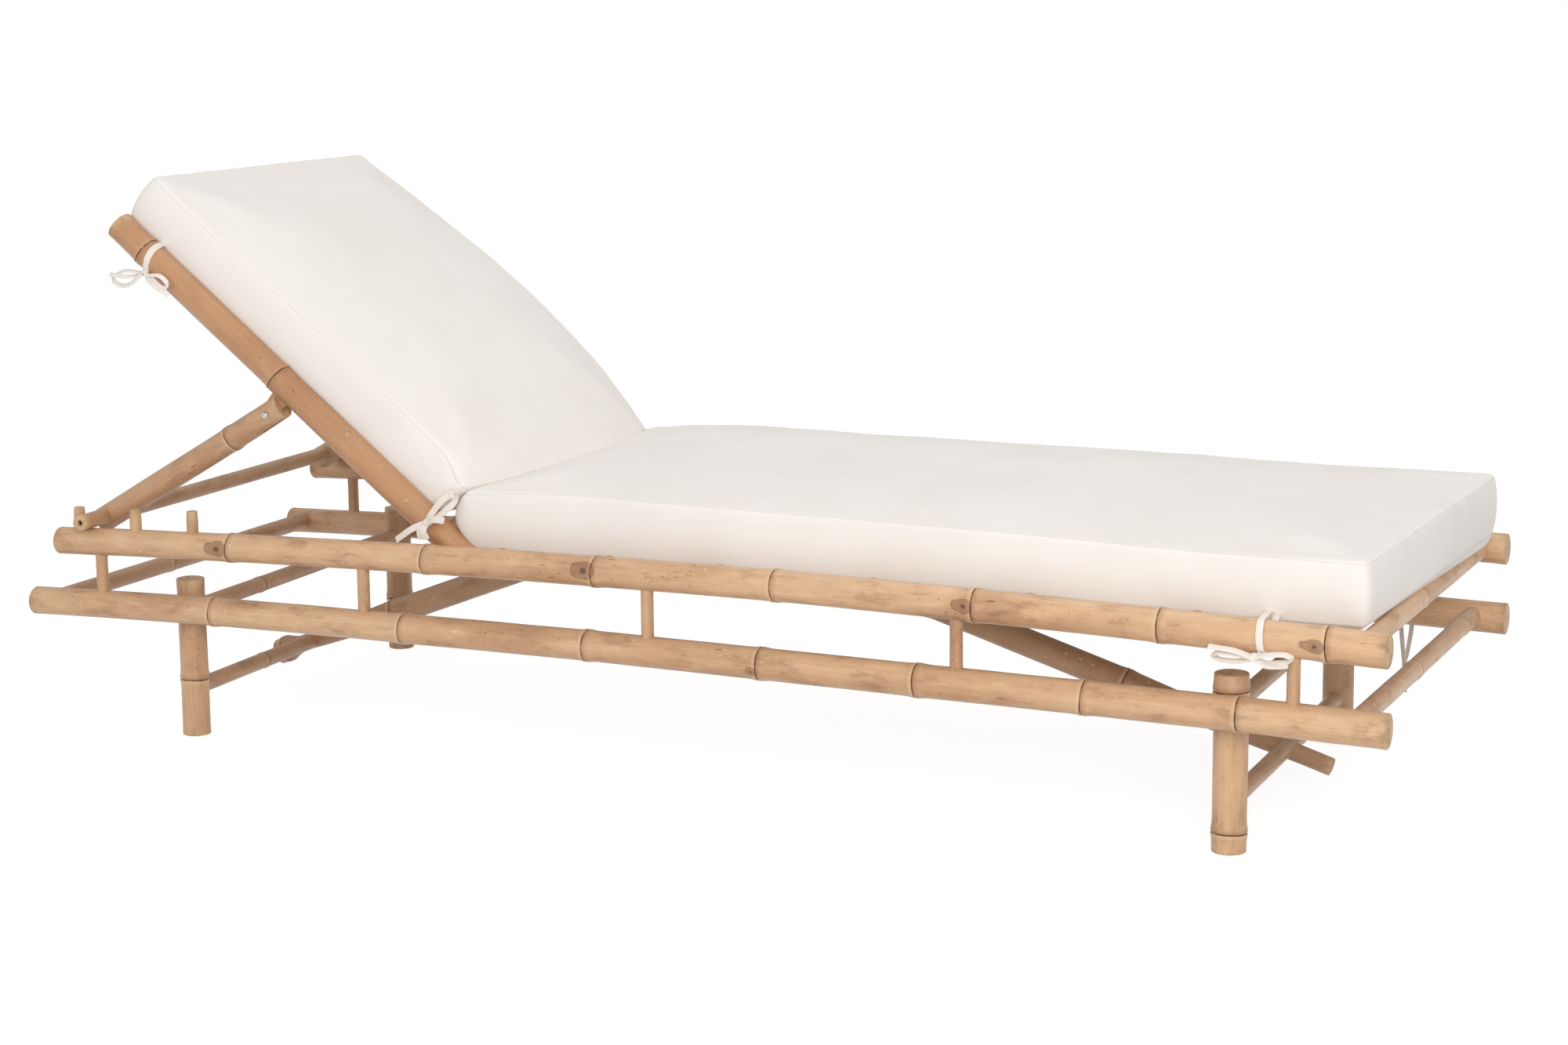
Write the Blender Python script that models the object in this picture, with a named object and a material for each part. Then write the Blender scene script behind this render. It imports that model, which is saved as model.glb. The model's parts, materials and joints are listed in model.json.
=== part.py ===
"""Bamboo sun lounger with a reclining back, a swinging prop and two tied cushions.

Metres, +Z up.  +X runs from the head end to the foot end, -Y is the near side.
The origin is on the floor, below the middle of the frame.
The lounger stands as it is used: back raised, prop rod resting against its first peg.
"""
import math

import bmesh
import bpy
from mathutils import Vector

# Overall frame
LOWER_RAIL_LENGTH = 2.052
UPPER_RAIL_LENGTH = 2.000
UPPER_RAIL_FOOT_SETBACK = 0.002
RAIL_SPACING = 0.697
LOWER_RAIL_HEAD_Z = 0.1915
LOWER_RAIL_FOOT_Z = 0.1905
UPPER_RAIL_HEAD_Z = 0.2865
UPPER_RAIL_FOOT_Z = 0.2920

# Camber: the rails bow upwards a little, as bent bamboo does
LOWER_RAIL_CAMBER = 0.011
LOWER_RAIL_CREST_FROM_HEAD = 0.726
UPPER_RAIL_CAMBER = 0.0195
UPPER_RAIL_CREST_FROM_HEAD = 1.000

# Pole radii.  Bamboo tapers, so a rail has one radius at its head end and one at its foot.
LOWER_RAIL_HEAD_R = 0.0205
LOWER_RAIL_FOOT_R = 0.0230
UPPER_RAIL_HEAD_R = 0.0200
UPPER_RAIL_FOOT_R = 0.0225
HEAD_LEG_R = 0.0208
FOOT_LEG_R = 0.0225
STRETCHER_R = 0.0122
CROSSBAR_R = 0.0135
SEAT_POLE_R = 0.0135
BRACE_R = 0.0197
SPINDLE_R = 0.0090
PEG_R = 0.0088
HINGE_ROD_R = 0.0090
STILE_R = 0.0215
BACK_POLE_R = 0.0135
STRUT_R = 0.0185
PROP_ROD_R = 0.0095

# Legs and what ties them together
HEAD_LEG_INSET = 0.2405
FOOT_LEG_INSET = 0.2230
LEG_STAGGER = 0.008
LEG_HEIGHT = 0.236
STRETCHER_UPPER_Z = 0.190
HEAD_STRETCHER_LOWER_Z = 0.070
FOOT_STRETCHER_LOWER_Z = 0.0645

# Spindles, pegs and crossbars
SPINDLE_COUNT = 5
SPINDLE_HEAD_INSET = 0.072
SPINDLE_FOOT_INSET = 0.120
SPINDLE_TENON = 0.007
PEG_COUNT = 3
PEG_PITCH = 0.100
PEG_INSET = 0.036
PEG_RISE = 0.031
CROSSBAR_RISE = 0.003
HEAD_CROSSBAR_INSET = 0.033
FOOT_CROSSBAR_LOWER_INSET = 0.046
FOOT_CROSSBAR_UPPER_INSET = 0.036

# Seat poles: close together under the hips, wider apart under the legs
SEAT_FIRST_FROM_HINGE = 0.065
HIP_POLE_COUNT = 3
HIP_POLE_PITCH = 0.170
LEG_POLE_COUNT = 3

# Braces: each rises from a lower stretcher to a seat pole
BRACE_OVERHANG = 0.066
BRACE_BORE_R = 0.0125
BRACE_BORE_DEPTH = 0.044
BRACE_NOTCH = 0.004
BRACE_PAST_POLE = 0.024
HEAD_BRACE_Y = 0.030
FOOT_BRACE_Y = 0.0
FOOT_BRACE_DROP = 0.004

# Reclining back, measured along and above its stiles from the hinge
HINGE_FROM_FOOT_END = 1.339
BACK_ANGLE = math.radians(38.5)
STILE_FROM_RAIL = 0.0485
STILE_LENGTH = 0.721
STILE_HEEL = 0.030
BACK_BAR_FROM_HINGE = 0.670
BACK_POLE_COUNT = 2
BACK_POLE_FIRST = 0.131

# Prop: a rod on two forked struts that turn on bolts below the stiles
PIVOT_FROM_HINGE = 0.3608
PIVOT_DROP = 0.0525
PROP_ROD_OVERHANG = 0.0295
STRUT_HEEL = 0.015
STRUT_RING_FROM_PIVOT = 0.078
STRUT_PAST_PIVOT = 0.025
FORK_SLOT_DEPTH = 0.026
LUG_THICKNESS = 0.012
LUG_R = 0.0130
LUG_TENON = 0.010
LUG_CLEARANCE = 0.0005
BOLT_R = 0.0040
BOLT_WASHER_R = 0.0080
BOLT_HEAD_R = 0.0062
BOLT_WASHER_THICKNESS = 0.0012
BOLT_HEAD_HEIGHT = 0.0036
SPOTFACE_DEPTH = 0.0040

# Cushions
SEAT_CUSHION_FROM_RAIL = 0.0455
SEAT_CUSHION_THICKNESS = 0.0745
SEAT_CUSHION_CROWN = 0.019
SEAT_CUSHION_HEAD_BEHIND_HINGE = 0.0005
SEAT_CUSHION_FOOT_FROM_BAR = 0.008
SEAT_CUSHION_HEEL_CUT = 0.0175
SEAT_CUSHION_HEEL_RISE = 0.0345
SEAT_CUSHION_HEAD_BULGE = 0.020
SEAT_CUSHION_HEAD_FADE = 0.100
BACK_CUSHION_FROM_STILE = 0.008
BACK_CUSHION_THICKNESS = 0.073
BACK_CUSHION_CROWN = 0.026
BACK_CUSHION_FROM_HINGE = 0.084
BACK_CUSHION_TOP = 0.726
CUSHION_DRAW_IN = 0.006
CUSHION_CORNER_R = 0.018
CUSHION_EDGE_R = 0.009
SIDE_SWELL = 0.002
SIDE_LEVELS = 3

# Tape ties
TAPE_WIDTH = 0.009
TAPE_THICKNESS = 0.0012
KNOT_R = 0.0065
TIE_SEWN_IN = 0.011
BOW_STEPS = 6
WRAP_TURN = 292
WRAP_STEPS = 14
HEAD_TIE_FROM_HINGE = 0.641
HINGE_TIE_FROM_HINGE = 0.092
FOOT_TIE_FROM_RAIL_END = 0.164

# Fits
GAP = 0.0003
TENON = 0.013
HINGE_CLEARANCE = 0.0005
BOLT_CLEARANCE = 0.0004

# Bamboo rings
NODE_SWELL = 0.0012
NODE_RISE = 0.006
END_EASE = 0.0015
THICK_SIDES = 14
THIN_SIDES = 10
STATION_PITCH = 0.150

# Places that follow from the sizes above
RAIL_Y = RAIL_SPACING / 2
STILE_Y = RAIL_Y - STILE_FROM_RAIL
SEAT_CUSHION_WIDTH = 2 * (RAIL_Y - SEAT_CUSHION_FROM_RAIL)
BACK_CUSHION_WIDTH = 2 * (STILE_Y - BACK_CUSHION_FROM_STILE)
LOWER_HEAD_X = -LOWER_RAIL_LENGTH / 2
LOWER_FOOT_X = LOWER_RAIL_LENGTH / 2
UPPER_FOOT_X = LOWER_FOOT_X - UPPER_RAIL_FOOT_SETBACK
UPPER_HEAD_X = UPPER_FOOT_X - UPPER_RAIL_LENGTH
HEAD_LEG_X = LOWER_HEAD_X + HEAD_LEG_INSET
FOOT_LEG_X = LOWER_FOOT_X - FOOT_LEG_INSET
HINGE_X = UPPER_FOOT_X - HINGE_FROM_FOOT_END
HEAD_BAR_X = LOWER_HEAD_X + HEAD_CROSSBAR_INSET
FOOT_BAR_LOWER_X = LOWER_FOOT_X - FOOT_CROSSBAR_LOWER_INSET
FOOT_BAR_UPPER_X = UPPER_FOOT_X - FOOT_CROSSBAR_UPPER_INSET
SIDES = {"near": -1, "far": 1}

BAMBOO = ("bamboo", (0.64, 0.42, 0.23), 0.45, 0.0)
BAMBOO_DARK = ("bamboo_brown", (0.47, 0.28, 0.14), 0.45, 0.0)
FABRIC = ("cushion_fabric", (0.86, 0.82, 0.78), 0.9, 0.0)
TAPE = ("tie_tape", (0.86, 0.80, 0.74), 0.85, 0.0)
STEEL = ("bolt_steel", (0.62, 0.62, 0.60), 0.3, 1.0)


def clear_scene():
    for thing in list(bpy.data.objects):
        bpy.data.objects.remove(thing, do_unlink=True)


def material(spec):
    """The Principled material of one kind of surface, made once."""
    name, colour, roughness, metallic = spec
    found = bpy.data.materials.get(name)
    if found:
        return found
    made = bpy.data.materials.new(name)
    made.use_nodes = True
    shader = made.node_tree.nodes["Principled BSDF"]
    shader.inputs["Base Color"].default_value = (*colour, 1.0)
    shader.inputs["Roughness"].default_value = roughness
    shader.inputs["Metallic"].default_value = metallic
    return made


def add_object(name, bm, spec=None, parent=None):
    """A mesh object from a bmesh, with its faces turned outwards."""
    bmesh.ops.recalc_face_normals(bm, faces=bm.faces)
    mesh = bpy.data.meshes.new(name)
    bm.to_mesh(mesh)
    bm.free()
    thing = bpy.data.objects.new(name, mesh)
    bpy.context.scene.collection.objects.link(thing)
    thing.parent = parent
    if spec:
        mesh.materials.append(material(spec))
        mesh.shade_smooth()
        mesh.set_sharp_from_angle(angle=math.radians(35))
    return thing


def add_cutter(name, bm, parent=None):
    cutter = add_object(name, bm, parent=parent)
    cutter.hide_render = True
    cutter.display_type = "WIRE"
    return cutter


def boolean(thing, cutter, operation="DIFFERENCE", own_overlaps=False):
    change = thing.modifiers.new(cutter.name, "BOOLEAN")
    change.operation = operation
    change.solver = "EXACT"
    change.use_self = own_overlaps
    change.object = cutter


def add_lathe(bm, start, end, profile, sides):
    """A closed round body on the line from start to end.

    profile is a list of (distance from start, radius).
    """
    axis = (end - start).normalized()
    turn = axis.to_track_quat("Z", "Y")
    rings = []
    for distance, radius in profile:
        ring = []
        for i in range(sides):
            angle = 2 * math.pi * i / sides
            rim = Vector((radius * math.cos(angle), radius * math.sin(angle), distance))
            ring.append(bm.verts.new(start + turn @ rim))
        rings.append(ring)
    for low, high in zip(rings, rings[1:]):
        for i in range(sides):
            j = (i + 1) % sides
            bm.faces.new((low[i], low[j], high[j], high[i]))
    bm.faces.new(rings[0])
    bm.faces.new(rings[-1])


def camber(share, crest):
    """How far a bowed pole has risen at a share of its length, as a share of its whole bow."""
    span = crest if share < crest else 1 - crest
    return 1 - ((share - crest) / span) ** 2


def halved(profile, longest):
    """The same profile with one more station in the middle of each long stretch."""
    points = [profile[0]]
    for before, after in zip(profile, profile[1:]):
        if after[0] - before[0] > longest:
            points.append(((before[0] + after[0]) / 2, (before[1] + after[1]) / 2))
        points.append(after)
    return points


class Pole:
    """A bamboo pole: what it looks like, and the holes that it needs in others.

    It is straight, or it bows upwards by bow, most at a share crest of its length.
    """

    bow = 0.0
    crest = 0.5

    def __init__(self, start, end, start_r, end_r=None, sides=THIN_SIDES, rings=(), ease=(0, 0)):
        self.start = Vector(start)
        self.end = Vector(end)
        self.start_r = start_r
        self.end_r = start_r if end_r is None else end_r
        self.sides = sides
        self.rings = rings
        self.ease = ease
        self.length = (self.end - self.start).length
        self.axis = (self.end - self.start).normalized()

    def radius(self, distance):
        share = distance / self.length
        return self.start_r + (self.end_r - self.start_r) * share

    def height(self, distance):
        """The height of a lengthwise pole's middle."""
        share = distance / self.length
        straight = self.start.z + (self.end.z - self.start.z) * share
        return straight + self.bow * camber(share, self.crest)

    def profile(self):
        """Radius along the pole, with a low swell at each bamboo ring."""
        points = []
        start_ease, end_ease = self.ease
        points.append((0.0, self.start_r - start_ease))
        if start_ease:
            points.append((start_ease, self.start_r))
        for distance in self.rings:
            points.append((distance - NODE_RISE, self.radius(distance)))
            points.append((distance, self.radius(distance) + NODE_SWELL))
            points.append((distance + NODE_RISE, self.radius(distance)))
        if end_ease:
            points.append((self.length - end_ease, self.end_r))
        points.append((self.length, self.end_r - end_ease))
        return halved(points, STATION_PITCH) if self.bow else points

    def build(self, name, spec=BAMBOO, parent=None, profile=None):
        """The pole as an object, with its origin at its own start."""
        bm = bmesh.new()
        zero = Vector((0, 0, 0))
        add_lathe(bm, zero, Vector((0, 0, self.length)), profile or self.profile(), self.sides)
        for vert in bm.verts:
            # The pole lies along local Z, and up is local Y.
            vert.co.y += self.bow * camber(vert.co.z / self.length, self.crest)
        thing = add_object(name, bm, spec, parent)
        thing.location = self.start
        thing.rotation_mode = "QUATERNION"
        thing.rotation_quaternion = self.axis.to_track_quat("Z", "Y")
        return thing

    def hole(self, bm, clearance=GAP):
        """Adds to a cutter the hole that this pole is fixed in, facet for facet."""
        wider = clearance / math.cos(math.pi / self.sides)
        start = self.start - self.axis * clearance
        end = self.end + self.axis * clearance
        length = (end - start).length
        profile = [(0.0, self.start_r + wider), (length, self.end_r + wider)]
        add_lathe(bm, start, end, profile, self.sides)


def add_bore(bm, start, end, radius):
    """Adds to a cutter a bore whose flats lie at the radius, for a piece that turns in it."""
    wide = radius / math.cos(math.pi / THICK_SIDES)
    add_lathe(bm, start, end, [(0.0, wide), ((end - start).length, wide)], THICK_SIDES)


def drill(thing, poles, parent=None):
    """Cuts the holes of several poles out of one object, with one cutter."""
    bm = bmesh.new()
    for pole in poles:
        pole.hole(bm)
    boolean(thing, add_cutter(thing.name + "_holes", bm, parent))


def spread(first, pitch, count):
    return [first + pitch * i for i in range(count)]


# Rails


def rail_pole(head, foot, head_r, foot_r, rings):
    eased = (END_EASE, END_EASE)
    return Pole(head, foot, head_r, foot_r, THICK_SIDES, [x - head[0] for x in rings], eased)


def upper_rail(side):
    y = SIDES[side] * RAIL_Y
    rings = (-0.688, -0.360, -0.089, 0.183, 0.471, 0.724, 0.942)
    pole = rail_pole((UPPER_HEAD_X, y, UPPER_RAIL_HEAD_Z), (UPPER_FOOT_X, y, UPPER_RAIL_FOOT_Z),
                     UPPER_RAIL_HEAD_R, UPPER_RAIL_FOOT_R, rings)
    pole.bow = UPPER_RAIL_CAMBER
    pole.crest = UPPER_RAIL_CREST_FROM_HEAD / UPPER_RAIL_LENGTH
    return pole


def lower_rail(side):
    y = SIDES[side] * RAIL_Y
    rings = (-0.723, -0.401, -0.104, 0.160, 0.389, 0.622, 0.830)
    pole = rail_pole((LOWER_HEAD_X, y, LOWER_RAIL_HEAD_Z), (LOWER_FOOT_X, y, LOWER_RAIL_FOOT_Z),
                     LOWER_RAIL_HEAD_R, LOWER_RAIL_FOOT_R, rings)
    pole.bow = LOWER_RAIL_CAMBER
    pole.crest = LOWER_RAIL_CREST_FROM_HEAD / LOWER_RAIL_LENGTH
    return pole


def upper_rail_r(x):
    return upper_rail("near").radius(x - UPPER_HEAD_X)


def lower_rail_r(x):
    return lower_rail("near").radius(x - LOWER_HEAD_X)


def upper_rail_z(x):
    return upper_rail("near").height(x - UPPER_HEAD_X)


def lower_rail_z(x):
    return lower_rail("near").height(x - LOWER_HEAD_X)


# Small uprights in and on the rails


def spindle_poles(side):
    """Uprights between the rails, socketed into both."""
    first = UPPER_HEAD_X + SPINDLE_HEAD_INSET
    last = UPPER_FOOT_X - SPINDLE_FOOT_INSET
    poles = []
    for x in spread(first, (last - first) / (SPINDLE_COUNT - 1), SPINDLE_COUNT):
        low = lower_rail_z(x) + lower_rail_r(x) - SPINDLE_TENON
        high = upper_rail_z(x) - upper_rail_r(x) + SPINDLE_TENON
        y = SIDES[side] * RAIL_Y
        poles.append(Pole((x, y, low), (x, y, high), SPINDLE_R))
    return poles


def peg_places():
    return spread(UPPER_HEAD_X + PEG_INSET, PEG_PITCH, PEG_COUNT)


def peg_poles(side):
    """Stop pegs on the upper rail, for the prop rod to lean against."""
    poles = []
    for x in peg_places():
        y = SIDES[side] * RAIL_Y
        top = upper_rail_z(x) + upper_rail_r(x)
        poles.append(Pole((x, y, top - TENON), (x, y, top + PEG_RISE), PEG_R, ease=(0, 0.001)))
    return poles


# Poles from side to side


def tenon_y(x, rail_radius):
    """How far out a crosswise pole reaches into a rail."""
    return RAIL_Y - rail_radius(x) + TENON


def cross_pole(x, z, rail_radius, radius, rings=()):
    y = tenon_y(x, rail_radius)
    return Pole((x, -y, z), (x, y, z), radius, rings=[r + y for r in rings])


def crossbar_poles():
    head_z = lower_rail_z(HEAD_BAR_X) + CROSSBAR_RISE
    foot_z = lower_rail_z(FOOT_BAR_LOWER_X) + CROSSBAR_RISE
    upper_z = upper_rail_z(FOOT_BAR_UPPER_X)
    return {
        "crossbar_head": cross_pole(HEAD_BAR_X, head_z, lower_rail_r, CROSSBAR_R, (-0.06,)),
        "crossbar_foot_lower": cross_pole(FOOT_BAR_LOWER_X, foot_z, lower_rail_r, CROSSBAR_R,
                                          (-0.03, 0.26)),
        "crossbar_foot_upper": cross_pole(FOOT_BAR_UPPER_X, upper_z, upper_rail_r, CROSSBAR_R,
                                          (-0.04,)),
    }


def seat_pole_places():
    first = HINGE_X + SEAT_FIRST_FROM_HINGE
    hips = spread(first, HIP_POLE_PITCH, HIP_POLE_COUNT)
    leg_pitch = (FOOT_BAR_UPPER_X - hips[-1]) / (LEG_POLE_COUNT + 1)
    return hips + spread(hips[-1] + leg_pitch, leg_pitch, LEG_POLE_COUNT)


def seat_poles():
    return [cross_pole(x, upper_rail_z(x), upper_rail_r, SEAT_POLE_R, (0.11 - 0.05 * (i % 2),))
            for i, x in enumerate(seat_pole_places())]


def hinge_rod_pole():
    """The rod that the back turns on, fixed in both upper rails."""
    return cross_pole(HINGE_X, upper_rail_z(HINGE_X), upper_rail_r, HINGE_ROD_R)


# Legs, stretchers and braces


def leg_pole(end, side):
    """A leg stands against the inner face of its lower rail."""
    x = HEAD_LEG_X if end == "head" else FOOT_LEG_X
    radius = HEAD_LEG_R if end == "head" else FOOT_LEG_R
    x -= SIDES[side] * LEG_STAGGER
    y = SIDES[side] * (RAIL_Y - lower_rail_r(x) - radius - GAP)
    rings = (0.085,) if end == "head" else (0.026, 0.213)
    return Pole((x, y, 0), (x, y, LEG_HEIGHT), radius, None, THICK_SIDES, rings, (0, END_EASE))


def stretcher_pole(end, z):
    """A bar from leg to leg, tenoned into both."""
    near = leg_pole(end, "near")
    far = leg_pole(end, "far")
    reach = near.start_r - TENON
    start = Vector((near.start.x, near.start.y, z))
    stop = Vector((far.start.x, far.start.y, z))
    axis = (stop - start).normalized()
    pole = Pole(start + axis * reach, stop - axis * reach, STRETCHER_R)
    pole.rings = [pole.length * (0.3 if end == "head" else 0.6)]
    return pole


def stretcher_poles():
    return {
        "stretcher_head_upper": stretcher_pole("head", STRETCHER_UPPER_Z),
        "stretcher_head_lower": stretcher_pole("head", HEAD_STRETCHER_LOWER_Z),
        "stretcher_foot_upper": stretcher_pole("foot", STRETCHER_UPPER_Z),
        "stretcher_foot_lower": stretcher_pole("foot", FOOT_STRETCHER_LOWER_Z),
    }


def brace_pole(end):
    """A sloping pole that a lower stretcher passes through, notched under a seat pole."""
    stretcher = stretcher_poles()[f"stretcher_{end}_lower"]
    y = HEAD_BRACE_Y if end == "head" else FOOT_BRACE_Y
    share = (y - stretcher.start.y) / (stretcher.end.y - stretcher.start.y)
    low = stretcher.start.lerp(stretcher.end, share)
    if end == "foot":
        low.z -= FOOT_BRACE_DROP
    pole_x = seat_pole_places()[0 if end == "head" else HIP_POLE_COUNT - 1]
    pole_z = upper_rail_z(pole_x)
    drop = BRACE_R + SEAT_POLE_R - BRACE_NOTCH
    target = Vector((pole_x, y, pole_z - drop))
    slope = (target - low).normalized()
    target = Vector((pole_x, y, pole_z - drop / abs(slope.x)))
    slope = (target - low).normalized()
    start = low - slope * BRACE_OVERHANG
    stop = target + slope * BRACE_PAST_POLE
    rings = (0.015, 0.23) if end == "head" else (0.31, 0.62)
    return Pole(start, stop, BRACE_R, None, THICK_SIDES, rings, (0, END_EASE))


def build_frame():
    spindles = {side: spindle_poles(side) for side in SIDES}
    pegs = {side: peg_poles(side) for side in SIDES}
    crossbars = crossbar_poles()
    poles = seat_poles()
    hinge_rod = hinge_rod_pole()
    lower_bars = [crossbars["crossbar_head"], crossbars["crossbar_foot_lower"]]
    upper_bars = [crossbars["crossbar_foot_upper"], hinge_rod, *poles]
    for side in SIDES:
        lower = lower_rail(side).build(f"rail_lower_{side}")
        drill(lower, spindles[side] + lower_bars)
        upper = upper_rail(side).build(f"rail_upper_{side}")
        drill(upper, spindles[side] + pegs[side] + upper_bars)
        for i, pole in enumerate(spindles[side]):
            pole.build(f"spindle_{side}_{i + 1}")
        for i, pole in enumerate(pegs[side]):
            pole.build(f"peg_{side}_{i + 1}")
    for name, pole in crossbars.items():
        pole.build(name)
    for i, pole in enumerate(poles):
        pole.build(f"seat_pole_{i + 1}")
    hinge_rod.build("hinge_rod")
    build_legs()
    build_braces()


def build_legs():
    stretchers = stretcher_poles()
    for name, pole in stretchers.items():
        pole.build(name)
    for end in ("head", "foot"):
        tenons = [pole for name, pole in stretchers.items() if end in name]
        for side in SIDES:
            leg = leg_pole(end, side).build(f"leg_{end}_{side}")
            drill(leg, tenons)


def build_braces():
    for end in ("head", "foot"):
        pole = brace_pole(end)
        brace = pole.build(f"brace_{end}")
        seat_pole = seat_poles()[0 if end == "head" else HIP_POLE_COUNT - 1]
        drill(brace, [stretcher_poles()[f"stretcher_{end}_lower"], seat_pole])
        bm = bmesh.new()
        mouth = pole.start - pole.axis * BRACE_R
        floor = pole.start + pole.axis * BRACE_BORE_DEPTH
        add_lathe(bm, mouth, floor, [(0, BRACE_BORE_R), ((floor - mouth).length, BRACE_BORE_R)],
                  THIN_SIDES)
        boolean(brace, add_cutter(f"brace_{end}_bore", bm))


# Reclining back.  Its pieces are laid out flat, with the stiles along -X from the hinge,
# under an empty on the hinge axis that raises them.


def stile_pole(side):
    y = SIDES[side] * STILE_Y
    rings = (0.106, 0.380, 0.661)
    pole = Pole((STILE_HEEL, y, 0), (-STILE_LENGTH, y, 0), STILE_R, None, THICK_SIDES)
    pole.rings = [STILE_HEEL + r for r in rings]
    return pole


def stile_profile(pole):
    """A stile's radius along its length: the heel is rounded off to turn past the rail."""
    heel = [(0.0, 0.45 * STILE_R), (0.2 * STILE_R, 0.78 * STILE_R), (0.6 * STILE_R, STILE_R)]
    body = pole.profile()[1:-1]
    top = [(pole.length - END_EASE, STILE_R), (pole.length, STILE_R - END_EASE)]
    return heel + body + top


def back_pole(distance, radius, ring=None):
    y = STILE_Y - STILE_R + TENON
    pole = Pole((-distance, -y, 0), (-distance, y, 0), radius)
    if ring is not None:
        pole.rings = [y + ring]
    return pole


def back_poles():
    """Crosswise poles of the back: the top bar, and the poles below it that carry the cushion."""
    pitch = (BACK_BAR_FROM_HINGE - BACK_POLE_FIRST) / BACK_POLE_COUNT
    poles = {"back_bar_top": back_pole(BACK_BAR_FROM_HINGE, BACK_POLE_R, 0.05)}
    for i, distance in enumerate(spread(BACK_POLE_FIRST, pitch, BACK_POLE_COUNT)):
        poles[f"back_pole_{i + 1}"] = back_pole(distance, BACK_POLE_R, 0.08 - 0.06 * i)
    return poles


def lug_outline(grow):
    """Side view of the lug round the pivot: a round nose and straight flanks up into the stile."""
    radius = LUG_R + grow
    top = PIVOT_DROP - STILE_R + LUG_TENON + grow
    points = [(radius, top), (-radius, top)]
    for i in range(13):
        angle = math.pi + math.pi * i / 12
        points.append((radius * math.cos(angle), radius * math.sin(angle)))
    return points


def add_lug(bm, side, grow=0.0):
    """The lug as a prism; grow widens it all round for its mortise in the stile."""
    half = LUG_THICKNESS / 2 + grow
    y = SIDES[side] * STILE_Y
    near = []
    far = []
    for x, z in lug_outline(grow):
        near.append(bm.verts.new((x - PIVOT_FROM_HINGE, y - half, z - PIVOT_DROP)))
        far.append(bm.verts.new((x - PIVOT_FROM_HINGE, y + half, z - PIVOT_DROP)))
    bm.faces.new(near)
    bm.faces.new(far)
    count = len(near)
    for i in range(count):
        j = (i + 1) % count
        bm.faces.new((near[i], near[j], far[j], far[i]))


def pivot_line(side, half_length):
    """The ends of a line through one pivot, in the prop's own frame."""
    y = SIDES[side] * STILE_Y
    return Vector((0, y - half_length, 0)), Vector((0, y + half_length, 0))


def build_back():
    hinge = bpy.data.objects.new("back_hinge", None)
    bpy.context.scene.collection.objects.link(hinge)
    hinge.location = hinge_place()
    hinge.rotation_euler.y = BACK_ANGLE
    cross = back_poles()
    for side in SIDES:
        pole = stile_pole(side)
        stile = pole.build(f"stile_{side}", BAMBOO_DARK, hinge, stile_profile(pole))
        drill(stile, list(cross.values()), hinge)
        y = SIDES[side] * STILE_Y
        bm = bmesh.new()
        add_bore(bm, Vector((0, y - 2 * STILE_R, 0)), Vector((0, y + 2 * STILE_R, 0)),
                 HINGE_ROD_R + HINGE_CLEARANCE)
        add_lug(bm, side, GAP)
        boolean(stile, add_cutter(f"stile_{side}_joints", bm, hinge))
        build_lug(side, hinge)
    for name, pole in cross.items():
        pole.build(name, BAMBOO_DARK, hinge)
    build_back_cushion(hinge)
    build_back_ties(hinge)
    return hinge


def build_lug(side, hinge):
    bm = bmesh.new()
    add_lug(bm, side)
    lug = add_object(f"lug_{side}", bm, BAMBOO_DARK, hinge)
    start, end = pivot_line(side, LUG_THICKNESS)
    place = Vector((-PIVOT_FROM_HINGE, 0, -PIVOT_DROP))
    bm = bmesh.new()
    add_bore(bm, start + place, end + place, BOLT_R + BOLT_CLEARANCE)
    boolean(lug, add_cutter(f"lug_{side}_bore", bm, hinge))


# Prop.  Its frame is an empty on the bolts' axis, a child of the back's, and the struts
# run along its -X.


def hinge_place():
    return Vector((HINGE_X, 0, upper_rail_z(HINGE_X)))


def prop_rod_place():
    """Where the rod lies, seen from the side: on the upper rails, against the first peg."""
    x = peg_places()[0] + PEG_R + PROP_ROD_R + GAP
    return Vector((x, 0, upper_rail_z(x) + upper_rail_r(x) + PROP_ROD_R + GAP))


def pivot_place():
    """Where the bolts' axis lies in the raised back, seen from the side."""
    along = Vector((-math.cos(BACK_ANGLE), 0, math.sin(BACK_ANGLE)))
    below = Vector((-math.sin(BACK_ANGLE), 0, -math.cos(BACK_ANGLE)))
    return hinge_place() + along * PIVOT_FROM_HINGE + below * PIVOT_DROP


def build_prop(hinge):
    reach = prop_rod_place() - pivot_place()
    strut_angle = math.atan2(reach.z, -reach.x)
    pivot = bpy.data.objects.new("prop_pivot", None)
    bpy.context.scene.collection.objects.link(pivot)
    pivot.parent = hinge
    pivot.location = (-PIVOT_FROM_HINGE, 0, -PIVOT_DROP)
    pivot.rotation_euler.y = strut_angle - BACK_ANGLE
    half = RAIL_Y + PROP_ROD_OVERHANG
    rod = Pole((-reach.length, -half, 0), (-reach.length, half, 0), PROP_ROD_R)
    rod.build("prop_rod", BAMBOO, pivot)
    for side in SIDES:
        build_strut(side, reach.length, rod, pivot)
        build_bolt(side, pivot)


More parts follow.
